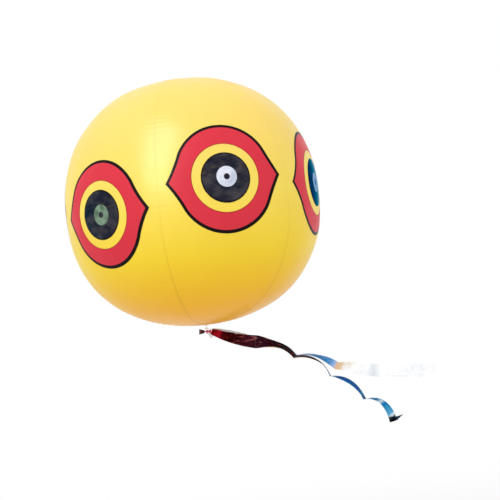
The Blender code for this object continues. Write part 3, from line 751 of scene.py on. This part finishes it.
# Fittings
def make_valve(look):
    """Stem with its collar, plug, strap and the welded flange; the check flap keeps its solid."""
    collar_bottom = -collar_depth - collar_thickness
    stem = [
        (stem_bore_radius, stem_height),
        (stem_neck_radius, stem_height),
        (stem_neck_radius, stem_neck_height),
        (stem_base_radius, stem_shoulder_height),
        (stem_base_radius, -collar_depth),
        (collar_radius, -collar_depth),
        (collar_radius, collar_bottom),
        (valve_lip_radius, collar_bottom),
        (valve_lip_radius, -collar_depth),
        (stem_bore_radius, -collar_depth),
    ]
    turned_piece("valve_stem_tube", stem, valve_frame, "valve_stem", look, "valve_stem", ring=True)
    head = stem_height + seat_gap
    plug = [
        (0, head + plug_head_height),
        (plug_head_radius * 0.55, head + plug_head_height),
        (plug_head_radius * 0.7, head + plug_head_height * 0.8),
        (plug_head_radius, head + plug_head_height * 0.8),
        (plug_head_radius, head),
        (plug_spigot_radius, head),
        (plug_spigot_radius, head - plug_spigot_length * 0.85),
        (plug_spigot_radius * 0.7, head - plug_spigot_length),
        (0, head - plug_spigot_length),
    ]
    turned_piece("valve_plug_cap", plug, valve_frame, "valve_plug", look, "valve_plug", rounding=plug_round)
    under = -skin_thickness - valve_flange_thickness
    flange = [
        (valve_bore, -skin_thickness),
        (valve_flange_radius, -skin_thickness),
        (valve_flange_radius, under),
        (valve_bore, under),
    ]
    turned_piece("valve_weld_flange", flange, valve_frame, "ball", look, "valve_flange", ring=True)
    rim = [(valve_bore + width, height) for width, height in valve_rim_steps]
    edge, (high, low) = valve_flange_radius * valve_rim_share, valve_rim_edge
    rim += [(edge, high), (edge, low), (valve_bore, low)]
    turned_piece("valve_outer_ring", rim, valve_frame, "ball", look, ring=True)
    make_strap(look, head)
    bpy.data.objects["valve_check_flap"].material_slots[0].material = look


def make_strap(look, head):
    """Ring round the stem and the band that bends up to the plug."""
    inner = stem_neck_radius + seat_gap
    outer = inner + strap_ring_width
    low, high = strap_ring_height, strap_ring_height + strap_ring_thickness
    ring = [(outer, high), (outer, low), (inner, low), (inner, high)]
    turned_piece(
        "plug_strap_ring", ring, valve_frame, "valve_stem", look, "plug_strap",
        ring=True, rounding=strap_round,
    )
    start = (low + high) / 2
    end = head + plug_head_height / 2
    route = round_corners([
        (outer - strap_ring_width / 2, start),
        (strap_reach, start),
        (strap_reach, end),
        (plug_head_radius - strap_overlap, end),
    ], strap_bend, 8)
    line = np.array([valve_frame @ Vector((x, 0, z)) for x, z in route])
    side = np.array(valve_frame.to_3x3() @ Vector((0, 1, 0)))
    angles = np.arange(16)[None, :, None] * math.tau / 16
    normal = np.cross(directions_along(line), side)
    rings = line[:, None] + side * strap_half_width * np.cos(angles)
    rings = rings + normal[:, None] * strap_half_thickness * np.sin(angles)
    band = tube_piece("plug_strap_band", rings, None, look)
    with edited(band.data) as form:
        bmesh.ops.recalc_face_normals(form, faces=form.faces[:])
    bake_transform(band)


def make_hang_tab(vinyl, metal):
    """Welded foot, folded flap, eyelet and washer at the top."""
    lean = Matrix.Rotation(tab_lean, 4, "X")
    foot_place = Matrix.Translation((0, 0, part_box("hang_tab_foot")[1].z - tab_thickness / 2))
    foot = [(x, -y) for x, y in tab_outline(hang_tab_width, seat_gap, hang_foot_length, hang_foot_corner)]
    outline_piece("hang_tab_weld", [foot], foot_place, "ball", vinyl, "hang_tab_foot")
    barrel = eyelet_bore_radius + eyelet_wall
    hole = circle_points(barrel + seat_gap / 2, y=eyelet_place)
    flap = tab_outline(hang_tab_width, seat_gap, hang_tab_length, hang_tab_corner)
    outline_piece("hang_tab_flap", [flap, hole], lean, "hang_tab", vinyl, "hang_tab")
    place = lean @ Matrix.Translation((0, eyelet_place, 0))
    seat = tab_thickness / 2
    top = seat + seat_gap + eyelet_flange_thickness
    washer_under = -seat - seat_gap - eyelet_washer_thickness
    lip = washer_under - 0.0001
    lip_under = washer_under - seat_gap - eyelet_wall
    eyelet = [
        (eyelet_bore_radius, seat + 0.0001),
        (eyelet_bore_radius + 0.0009, top),
        (eyelet_flange_radius - 0.0016, top),
        (eyelet_flange_radius, seat + 0.0002),
        (eyelet_flange_radius - 0.0001, seat),
        (barrel, seat),
        (barrel, lip),
        (barrel + eyelet_lip_width, lip),
        (barrel + eyelet_lip_width, lip_under),
        (eyelet_bore_radius, lip_under),
    ]
    turned_piece(
        "eyelet_rim", eyelet, place, "hang_tab", metal, "hang_eyelet", ring=True, rounding=eyelet_round,
    )
    washer_bore = barrel + seat_gap / 3
    washer = [
        (eyelet_flange_radius, -seat),
        (eyelet_flange_radius, washer_under),
        (washer_bore, washer_under),
        (washer_bore, -seat),
    ]
    turned_piece("eyelet_back_washer", washer, place, "hang_tab", metal, "hang_eyelet_washer", ring=True)


def make_streamer_tab(look):
    """Welded foot under the ball and the flap that hangs from it."""
    turn = Matrix.Rotation(wind_turn, 4, "Z")
    long, wide = streamer_foot_length / 2, streamer_tab_width / 2
    foot = [(-long, -wide), (long, -wide), (long, wide), (-long, wide)]
    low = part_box("streamer_tab_foot")[0].z
    place = Matrix.Translation((0, 0, low + tab_thickness / 2)) @ turn
    outline_piece("streamer_tab_weld", [foot], place, "ball", look, "streamer_tab_foot")
    flap = tab_outline(streamer_tab_width, -streamer_tab_lap, streamer_tab_length, streamer_tab_corner)
    hole = circle_points(streamer_hole_radius, y=streamer_tab_length - streamer_hole_rise)
    hang = axes_matrix((0, 1, 0), (0, 0, -1), (-1, 0, 0))
    place = Matrix.Translation((0, 0, tab_top)) @ turn @ hang
    outline_piece("streamer_tab_flap", [flap, hole], place, "streamer_tab", look, "streamer_tab")


# Knot and streamers
def in_picture(degrees):
    """Direction at an angle in the wind frame's upright plane."""
    turn = math.radians(degrees)
    return Vector((math.cos(turn), 0, math.sin(turn)))


def film_rope(
    name, points, radius, body, look, node=None,
    closed=False, seed=0.0, flatness=rope_flatness, wide=rope_wide,
):
    """Crumpled film gathered into a strand along points; radius and flatness may change along it."""
    line = np.array([tuple(p) for p in points])
    count = len(line)
    radii = np.broadcast_to(radius, count)
    flats = np.broadcast_to(flatness, count)
    along = directions_along(line)
    if closed:
        along = unit_rows(np.roll(line, -1, 0) - np.roll(line, 1, 0))
    normal = np.array(wide, float)
    rings = []
    for i in range(count):
        normal = normal - along[i] * (normal @ along[i])
        normal = normal / np.linalg.norm(normal)
        other = np.cross(along[i], normal)
        ring = []
        for turn in (math.tau * j / rope_sides for j in range(rope_sides)):
            fold = 1 + 0.22 * math.cos(5 * turn + seed + 0.11 * i)
            fold += 0.12 * math.cos(3 * turn - 0.17 * i + seed)
            grain = noise.noise(Vector(line[i]) * rope_grain + Vector((turn * 2, seed, 0)))
            reach = radii[i] * fold * (1 + rope_roughness * grain)
            aside = normal * reach * math.cos(turn) + other * reach * flats[i] * math.sin(turn)
            ring.append(wind_frame @ Vector(line[i] + aside))
        rings.append(ring)
    return tube_piece(name, rings, body, look, node, closed)


def make_knot(dark, silver):
    """Film loop through the tab's hole, the overhand knot below it and the necks that leave it."""
    knot = []
    for t in (math.tau * i / knot_points for i in range(knot_points)):
        y = math.sin(t) + 2 * math.sin(2 * t)
        z = math.cos(t) - 2 * math.cos(2 * t)
        knot.append(Vector((-math.sin(3 * t), y, z)) * knot_size)
    film_rope("knot_wrap", knot, knot_strand, "streamer_tab", dark, "streamer_knot", closed=True)
    middle = Vector((0, 0, knot_drop - film_loop_radius))
    points = [middle + in_picture(6 * i) * film_loop_radius for i in range(60)]
    loop = film_rope("knot_loop", points, loop_strand, "streamer_tab", silver, closed=True, seed=2.0)
    ends = {name: long_neck_end(name) for name in ("dark", "silver")}
    for name, heading in short_headings.items():
        ends[f"{name}_short"] = in_picture(heading) * short_neck_reach
    steps = [i / 12 for i in range(13)]
    for number, (name, end) in enumerate(ends.items()):
        colour = name.split("_")[0]
        look = dark if colour == "dark" else silver
        points = [end * s for s in steps]
        if "short" in name:
            radii = [0.0010 + 0.0003 * s for s in steps]
            neck = film_rope(f"{name}_neck", points, radii, "streamer_tab", look, seed=number)
        else:
            radii = [0.0011 + 0.0044 * s * s for s in steps]
            neck = film_rope(
                f"{name}_neck", points, radii, None, look, seed=number,
                flatness=[rope_flatness - 0.42 * s for s in steps], wide=crease_line(90, start_leans[name]),
            )
            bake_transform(neck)


def long_neck_end(name):
    """Where a long streamer leaves its neck."""
    return Vector((long_neck_reach, -long_neck_spread if name == "dark" else long_neck_spread, 0))


def crease_line(tilt, lean):
    """Direction of a crease in the wind frame: towards the viewer at tilt 0, and leaning up from downwind."""
    tilt = math.radians(tilt)
    lean = math.radians(lean)
    return Vector((math.sin(tilt) * math.cos(lean), -math.cos(tilt), math.sin(tilt) * math.sin(lean)))


def fold_crease(fold, share):
    """Direction across the film at a share of a fold, between its two creases."""
    return (fold["crease"] * (1 - share) + fold["end_crease"] * share).normalized()


def film_direction(fold, share):
    """Direction along the film at a share of a fold, square to the line across it."""
    heading = fold["heading"] + fold["turn"] * share
    slope = (fold["drift"] - fold["bulge"] * 4 * (1 - 2 * share)) / fold["length"]
    along = Vector((math.cos(heading), slope, math.sin(heading)))
    across = fold_crease(fold, share)
    return (along - across * along.dot(across)).normalized()


def fold_centres(fold, steps):
    """Points along the middle of a fold, from one crease to the next."""
    centres = [fold["start"]]
    for i in range(steps):
        centres.append(centres[-1] + film_direction(fold, (i + 0.5) / steps) * fold["length"] / steps)
    return centres


def chain_folds(name, start, start_gap, crease, width, pattern):
    """Works a pattern of folds into places, each starting where the last one ends."""
    folds = []
    walked = 0
    gap = crease_gaps[name]
    for length, heading, turn, drift, bulge, tilt, lean in pattern:
        fold = {
            "start": start, "length": length, "heading": math.radians(heading), "turn": math.radians(turn),
            "drift": drift, "bulge": bulge, "crease": crease, "end_crease": crease_line(tilt, lean),
            "gathered": not folds, "start_gap": gap if folds else start_gap, "end_gap": gap,
            "width": width, "walked": walked,
        }
        folds.append(fold)
        fold["end"] = start = fold_centres(fold, fold_steps)[-1]
        crease = fold["end_crease"]
        walked += length
    return folds


def film_lift(fold, seed, share, t, spread):
    """How far a point of a film lies off its middle surface: its curl, ripples, pleats and crumples."""
    free = math.sin(math.pi * share)
    lift = film_curl * free * (4 * t * t - 1 / 3)
    spot = Vector((t * 3.1 + seed, share * fold["length"] * 22, seed * 1.7))
    lift += film_ripple * free * noise.noise(spot) * 2
    if fold["gathered"]:
        pleat = fold["width"] / fine_pleats / 4 * math.sqrt(max(0, 1 - spread * spread))
        lift += pleat * math.sin(math.tau * fine_pleats * t)
        crumple = noise.noise(Vector((t * 9, share * fold["length"] * 90, seed + 5)))
        deep = film_crumple * spread * fold["width"] / film_width
        lift += deep * crumple * (0.3 + 0.7 * free) * (1 - smooth_share((share - 0.9) / 0.1))
    return lift


def film_grid(fold, seed, twist):
    """Grid of a stretch of film in the wind frame, twisted between its creases, and its flat places."""
    centres = np.array([tuple(p) for p in fold_centres(fold, fine_steps)])
    shares = np.linspace(0, 1, fine_steps + 1)
    centres = centres + shares[:, None] * (np.array(fold["end"]) - centres[-1])
    columns = fine_pleats * pleat_points if fold["gathered"] else film_columns
    rows, flats = [], []
    for place, share in zip(centres, shares):
        across = np.array(fold_crease(fold, share))
        along = np.array(film_direction(fold, share))
        normal = np.cross(along, across)
        turn = twist * math.sin(math.pi * share ** twist_power) ** 2
        turned = across * math.cos(turn) + normal * math.sin(turn)
        normal = normal * math.cos(turn) - across * math.sin(turn)
        if share == 0:
            place = place + along * fold["start_gap"]
        if share == 1:
            place = place - along * fold["end_gap"]
        spread = 1
        if fold["gathered"]:
            spread = gather_start_share + (1 - gather_start_share) * share ** gather_power
        row, flat = [], []
        for t in (j / columns - 0.5 for j in range(columns + 1)):
            lift = film_lift(fold, seed, share, t, spread)
            row.append(place + turned * fold["width"] * spread * t + normal * lift)
            flat.append((t + 0.5, fold["walked"] + share * fold["length"]))
        rows.append(row)
        flats.append(flat)
    return np.array(rows), np.array(flats)


def make_film(name, fold, body, looks, node, seed):
    """One stretch of film between two creases, a sheet that rides on its own body."""
    grid, flat = film_grid(fold, seed, math.radians(film_twist_degs.get(name, 0)))
    normal = grid_normals(grid)
    turn = np.array(wind_frame.to_3x3())
    place = np.array(wind_frame.translation)
    outer = (grid + normal * film_thickness / 2) @ turn.T + place
    inner = (grid - normal * film_thickness / 2) @ turn.T + place
    piece = shell_piece(name, outer, inner, body, looks, node, uv=flat)


def make_streamers(looks):
    """Both long streamers, and the two short cut ends beside the knot."""
    for number, (name, pattern) in enumerate(patterns.items()):
        crease = crease_line(90, start_leans[name])
        folds = chain_folds(name, long_neck_end(name), neck_end_radius, crease, film_width, pattern)
        for i, fold in enumerate(folds, start=1):
            last = i == len(folds)
            piece = f"{name}_film_end" if last else f"{name}_film_{i}"
            node = f"{name}_streamer_end" if last else f"{name}_streamer_fold_{i}"
            body = f"{name}_end" if last else f"{name}_fold_{i}"
            make_film(piece, fold, body, looks[name], node, 3.0 * number + i)
    for name, heading in short_headings.items():
        pattern = ((short_end_length, heading, 0, 0, 0, 75, heading + 90),)
        start = in_picture(heading) * short_neck_reach
        fold = chain_folds(name, start, 0, crease_line(90, heading + 90), short_end_width, pattern)[0]
        make_film(
            f"{name}_film_cut_end", fold, "streamer_tab", looks[f"{name}_cut"],
            f"{name}_streamer_short_end", 11.0,
        )


# Materials
class Nodes:
    """A node tree with short calls to add to it."""

    def __init__(self, tree):
        self.tree = tree

    def feed(self, socket, value):
        """Links an output to an input, or gives the input a value."""
        if isinstance(value, bpy.types.NodeSocket):
            self.tree.links.new(value, socket)
        else:
            socket.default_value = value

    def add(self, kind, *first, **values):
        """Adds a node with its first inputs; capital names are other inputs, small ones are properties."""
        made = self.tree.nodes.new("ShaderNode" + kind)
        for key, value in values.items():
            if key[0].islower():
                setattr(made, key, value)
        named = {key.replace("_", " "): value for key, value in values.items() if key[0].isupper()}
        for key, value in [*enumerate(first), *named.items()]:
            self.feed(made.inputs[key], value)
        return made

    def math(self, operation, first, second):
        """The result of an operation on two values."""
        return self.add("Math", first, second, operation=operation).outputs[0]


class Look(Nodes):
    """A Principled material, built from object space outwards."""

    def __init__(self, name, colour, roughness, metallic=0.0, **sockets):
        self.material = bpy.data.materials.new(name)
        self.material.use_nodes = True
        super().__init__(self.material.node_tree)
        self.inputs = self.tree.nodes["Principled BSDF"].inputs
        self.dress(Base_Color=(*colour, 1), Roughness=roughness, Metallic=metallic, **sockets)

    def dress(self, **sockets):
        """Feeds the shader's inputs, by their names with _ for spaces."""
        for key, value in sockets.items():
            self.feed(self.inputs[key.replace("_", " ")], value)

    def noise(self, scale, detail=3.0, stretch=(1, 1, 1), kind="TexNoise"):
        """Noise in the object's own space."""
        place = self.add("Mapping", self.add("TexCoord").outputs["Object"], Scale=stretch).outputs[0]
        return self.add(kind, Vector=place, Scale=scale, Detail=detail).outputs[0]

    def ramp(self, factor, stops):
        """Colour ramp over a factor; stops are places and RGB colours."""
        made = self.add("ValToRGB", factor)
        elements = made.color_ramp.elements
        while len(elements) > 1:
            elements.remove(elements[-1])
        for i, (place, colour) in enumerate(stops):
            element = elements.new(place) if i else elements[0]
            element.position = place
            element.color = (*colour, 1)
        return made.outputs["Color"]

    def span(self, value, low, high, new_low=0.0, new_high=1.0):
        """Maps a value from one range to another, clamped."""
        return self.add("MapRange", value, low, high, new_low, new_high).outputs[0]

    def mix(self, factor, first, second):
        """Mixes two colours, each a socket or an RGB colour."""
        made = self.add("Mix", factor, data_type="RGBA")
        for place, value in ((6, first), (7, second)):
            self.feed(made.inputs[place], value if isinstance(value, bpy.types.NodeSocket) else (*value, 1))
        return made.outputs[2]

    def patches(self, pattern, low, high, most, colour, other):
        """A colour with patches of another where a pattern is high, which cover it by at most a share."""
        return self.mix(self.span(pattern, low, high, 0.0, most), colour, other)

    def bump(self, height, distance, strength=0.5):
        """Adds a bump to the shader, over any that is there."""
        made = self.add("Bump", Strength=strength, Distance=distance, Height=height)
        target = self.inputs["Normal"]
        if target.is_linked:
            self.feed(made.inputs["Normal"], target.links[0].from_socket)
        self.feed(target, made.outputs[0])

    def flat_place(self):
        """The two parts of the piece's flat places."""
        parts = self.add("SeparateXYZ", self.add("UVMap", uv_map="UVMap").outputs["UV"])
        return parts.outputs["X"], parts.outputs["Y"]


def vinyl_skin(name, plain=None):
    """Glossy yellow vinyl, paler towards the top as painted light, more orange towards the bottom as painted
    shade, and darker at its welds; a patch is plainer.
    """
    look = Look(name, (0.90, 0.58, 0.04), 0.33, Specular_IOR_Level=0.2)
    if plain:
        deeper = tuple(part * share for part, share in zip(plain, (1, 0.95, 0.85)))
        colour = look.ramp(look.noise(14), ((0.3, plain), (0.7, deeper)))
    else:
        from_seam, height = look.flat_place()
        # Painted light and shade over the height: paler at the top, more orange at the bottom
        colour = look.ramp(height, painted_skin_light_stops)
    colour = look.patches(look.noise(9, 4), 0.35, 0.7, 0.13, colour, (0.88, 0.53, 0.03))
    colour = look.patches(look.noise(420, 2), 0.74, 0.8, 0.25, colour, (0.55, 0.40, 0.12))
    if not plain:
        # Dark weld lines, made darker low on the ball by painted shade
        weld = look.span(from_seam, weld_edge, weld_reach, 1, 0)
        weld_line_and_painted_shade = look.math("MULTIPLY", weld, look.span(height, 0.08, 0.5, 0.30, 0.04))
        colour = look.mix(weld_line_and_painted_shade, colour, (0.50, 0.24, 0.012))
    look.dress(Base_Color=colour, Roughness=look.span(look.noise(26, 5), 0.3, 0.7, 0.28, 0.38))
    look.bump(look.noise(60), 0.0004, 0.12)
    look.bump(look.noise(900, 2), 0.00004, 0.25)
    return look.material


def ink(name, colour, deeper, roughness=0.36):
    """Glossy screen-printed ink with faint unevenness."""
    look = Look(name, colour, roughness, Specular_IOR_Level=0.09)
    cloud = look.noise(22, 4)
    look.dress(
        Base_Color=look.patches(cloud, 0.35, 0.7, 0.5, colour, deeper),
        Roughness=look.span(cloud, 0.3, 0.7, roughness - 0.06, roughness + 0.06),
    )
    look.bump(look.noise(1100, 2), 0.00003, 0.3)
    return look.material


def disc_film():
    """Dark mirror film that turns blue at a glancing look, with cloudy grey and warm tones painted as
    reflections, and a darker rim.
    """
    look = Look("dark_mirror_film", (0.012, 0.013, 0.024), 0.09, 1.0, Specular_Tint=(0.06, 0.42, 0.62, 1))
    x, y = look.flat_place()
    place = look.add("CombineXYZ", x, y).outputs[0]
    radius = look.add("VectorMath", place, operation="LENGTH").outputs["Value"]
    painted_reflection_clouds, painted_warm_reflection = look.noise(34, 4, (1, 1, 1.6)), look.noise(52, 4, (1, 1, 2.4))
    # Painted reflections: cloudy grey and warm brown patches on the mirror
    colour = look.patches(painted_reflection_clouds, 0.42, 0.68, 1, (0.018, 0.019, 0.032), (0.062, 0.058, 0.066))
    colour = look.patches(painted_warm_reflection, 0.60, 0.72, 0.7, colour, (0.10, 0.075, 0.045))
    colour = look.patches(radius, disc_rim_start, disc_rim_end, 1, colour, (0.004, 0.003, 0.005))
    look.dress(Base_Color=colour)
    look.bump(look.noise(45, 2), 0.0006, 0.12)
    return look.material


def iris_film(name, colour, other):
    """Silver foil in soft patches of two tints; on the three front eyes the tints are painted reflections."""
    look = Look(name, colour, 0.2, 0.9, Specular_Tint=(0.3, 0.45, 0.65, 1))
    look.dress(Base_Color=look.patches(look.noise(55), 0.35, 0.65, 1, colour, other))
    look.bump(look.noise(160), 0.0003, 0.25)
    return look.material


def film(name, stops, painted_flecks, painted_fleck_share, edge=(1, 1, 1), metallic=0.9, roughness=0.16, crinkle=0.3):
    """Metallised film with crinkles and painted flecks, whose colour changes along it at stops in metres that
    hold painted reflections too.
    """
    look = Look(name, stops[0][1], roughness, metallic, Specular_Tint=(*edge, 1), Specular_IOR_Level=0.25)
    share = look.span(look.flat_place()[1], 0, film_length)
    colour = look.ramp(share, [(place / film_length, tone) for place, tone in stops])
    # Painted flecks: painted glint on the dark films, painted crinkle shade in grey on the silver film
    painted_fleck_pattern = look.noise(75, 4, (1, 1, 2.2))
    look.dress(Base_Color=look.patches(painted_fleck_pattern, 0.56, 0.66, painted_fleck_share, colour, painted_flecks))
    look.bump(look.noise(120, kind="TexVoronoi"), 0.0012, crinkle)
    look.bump(look.noise(260), 0.0005, crinkle)
    return look.material


def soft_vinyl(name, colour):
    """Thin translucent vinyl of the tabs and valve, with a fine weld grain."""
    look = Look(name, colour, 0.32, Coat_Weight=0.3, Coat_Roughness=0.2, Transmission_Weight=0.25)
    deeper = tuple(part * 0.85 for part in colour)
    look.dress(Base_Color=look.patches(look.noise(120), 0.3, 0.7, 0.4, colour, deeper))
    look.bump(look.noise(700, 2), 0.0001, 0.3)
    return look.material


def nickel():
    """Nickel plating with fine turning marks."""
    look = Look("nickel_plating", (0.72, 0.70, 0.66), 0.22, 1.0)
    marks = look.noise(300, 4)
    look.dress(
        Base_Color=look.patches(marks, 0.4, 0.7, 0.4, (0.74, 0.72, 0.68), (0.55, 0.52, 0.47)),
        Roughness=look.span(marks, 0.3, 0.7, 0.16, 0.32),
    )
    look.bump(marks, 0.00005, 0.2)
    return look.material


# Stage
def white_to_camera(nodes, lit, white, white_share):
    """Mixes a lit shader with plain white for camera, glossy and transmission rays."""
    path = nodes.add("LightPath").outputs
    seen = nodes.math("MAXIMUM", path["Is Camera Ray"], path["Is Glossy Ray"])
    seen = nodes.math("MAXIMUM", seen, path["Is Transmission Ray"])
    return nodes.add("MixShader", nodes.math("MULTIPLY", seen, white_share), lit, white).outputs[0]


def far_share(nodes, near, far, start):
    """A share that grows with the distance from the floor's middle, from a start value to 1."""
    place = nodes.add("TexCoord").outputs["Object"]
    flat = nodes.add("VectorMath", place, (1, 1, 0), operation="MULTIPLY").outputs[0]
    reach = nodes.add("VectorMath", flat, operation="LENGTH").outputs["Value"]
    return nodes.add("MapRange", reach, near, far, start, 1, interpolation_type="SMOOTHSTEP").outputs[0]


def make_world():
    """Even soft light, seen as white."""
    world = bpy.data.worlds.new("studio")
    bpy.context.scene.world = world
    world.use_nodes = True
    world.node_tree.nodes.clear()
    nodes = Nodes(world.node_tree)
    soft = nodes.add("Background", world_colour, world_strength).outputs[0]
    seen = nodes.add("Background", (1, 1, 1, 1), 1).outputs[0]
    nodes.add("OutputWorld", white_to_camera(nodes, soft, seen, 1))


def make_floor():
    """Wide pale floor, far enough down for the streamers to hang free."""
    mesh = bpy.data.meshes.new("floor")
    with edited(mesh) as form:
        place = Matrix.Translation((0, 0, floor_height))
        bmesh.ops.create_circle(form, cap_ends=True, segments=96, radius=floor_radius, matrix=place)
    look = Look("pale_floor", (0.80, 0.79, 0.77), 1, Specular_IOR_Level=0)
    lit = look.tree.nodes["Principled BSDF"].outputs[0]
    white = look.add("Emission").outputs[0]
    share = far_share(look, floor_white_start, floor_white_end, floor_white_share)
    look.feed(look.tree.nodes["Material Output"].inputs["Surface"], white_to_camera(look, lit, white, share))
    mesh.materials.append(look.material)
    add_object("floor", mesh)


def add_lamp(name, direction, distance, size, power, lights=True):
    """Soft lamp of a width and height facing the ball; one that lights nothing shows only in gloss."""
    light = bpy.data.lights.new(name, "AREA")
    light.shape = "RECTANGLE"
    light.size, light.size_y = size
    light.energy = power
    lamp = add_object(name, light)
    lamp.location = Vector(ball_centre) + direction.normalized() * distance
    lamp.rotation_mode = "QUATERNION"
    lamp.rotation_quaternion = direction.to_track_quat("Z", "Y")
    lamp.visible_diffuse = lights


def make_camera():
    """Camera at the picture's place, turned to put the ball's middle on its pixel; returns its axes."""
    back = towards_camera
    right = (picture_right - back * picture_right.dot(back)).normalized()
    up = back.cross(right)
    aside, below = ((picture_pixels / 2 - pixel) / focal_pixels for pixel in ball_pixel)
    turned_back = (back - right * aside + up * below).normalized()
    turned_right = (right - turned_back * right.dot(turned_back)).normalized()
    lens = bpy.data.cameras.new("camera")
    lens.sensor_width = sensor_width
    lens.lens = sensor_width * focal_pixels / picture_pixels
    camera = add_object("camera", lens)
    place = axes_matrix(turned_right, turned_back.cross(turned_right), turned_back)
    place.translation = Vector(ball_centre) + back * camera_distance
    camera.matrix_world = place
    bpy.context.scene.camera = camera
    return right, up, back


# Everything together
skin_look = vinyl_skin("yellow_skin")
# The patches' colours are painted light on top and painted shade at the bottom, as on the skin
top_patch_painted_light_look = vinyl_skin("top_patch_painted_light_vinyl", (0.93, 0.675, 0.155))
bottom_patch_painted_shade_look = vinyl_skin("bottom_patch_painted_shade_vinyl", (0.93, 0.43, 0.018))
clear_look = soft_vinyl("clear_fittings", (0.86, 0.82, 0.70))
tab_look = soft_vinyl("tab_vinyl", (0.88, 0.66, 0.30))
metal_look = nickel()
iris_looks = {
    side: iris_film(f"{side}_iris_foil", *iris_painted_reflection_tints.get(side, silver_iris)) for side in panel_sides
}
eye_looks = {
    "black": ink("black_ink", (0.003, 0.001, 0.0015), (0.006, 0.002, 0.003)),
    "red": ink("red_ink", (0.73, 0.038, 0.062), (0.68, 0.032, 0.05)),
    "line": ink("deep_red_ink", (0.33, 0.02, 0.02), (0.25, 0.01, 0.01)),
    "disc": disc_film(),
    "iris": iris_looks,
}
for panel_side, lift_deg, iris_shift in zip(panel_sides, eye_lift_degs, iris_shifts):
    make_panel(panel_side, skin_look)
    make_eye(panel_side, math.radians(lift_deg), iris_shift, eye_looks)
make_cap("top_patch", 1, top_patch_painted_light_look, "top_cap")
make_cap("bottom_patch", -1, bottom_patch_painted_shade_look, "bottom_cap")
make_valve(clear_look)
make_hang_tab(clear_look, metal_look)
make_streamer_tab(tab_look)
# The flecks given to the dark films are painted glint; those of the silver film are painted crinkle shade
dark_top = film("dark_film_top", dark_top_colour_and_reflection_stops, (0.55, 0.75, 0.9), 0.12, (0.12, 0.28, 0.42))
dark_under = film("dark_film_under", dark_under_stops, (0.36, 0.10, 0.10), 0.7, (0.25, 0.10, 0.12))
silver_top = film(
    "silver_film_top", silver_top_colour_and_reflection_stops, silver_painted_flecks, 0.22, (0.5, 0.7, 0.9), 0.65, 0.26, 0.12,
)
silver_under = film(
    "silver_film_under", silver_under_colour_and_sheen_stops, silver_painted_flecks, 0.3, metallic=0.3, roughness=0.3, crinkle=0.1,
)
cut_look = film("dark_cut_film", dark_cut_stops, (0.45, 0.30, 0.26), 0.6)
streamer_looks = {
    "dark": (dark_top, dark_under), "silver": (silver_top, silver_under),
    "dark_cut": (cut_look, cut_look), "silver_cut": (silver_top, silver_under),
}
make_knot(dark_under, silver_under)
make_streamers(streamer_looks)

view_right, view_up, view_back = make_camera()
make_world()
make_floor()
add_lamp("key", view_right * -0.43 + view_up * 0.72 + view_back * 0.54, 3.0, (1.6, 2.0), 26)
add_lamp("glow", view_right * -0.43 + view_up * 0.57 + view_back * 0.70, 2.9, (1.3, 3.0), 150, lights=False)
add_lamp("fill", view_right * 0.2 + view_up * -0.35 + view_back * 0.9, 4.5, (3.0, 2.0), 30)
bpy.context.scene.view_settings.view_transform = "Standard"
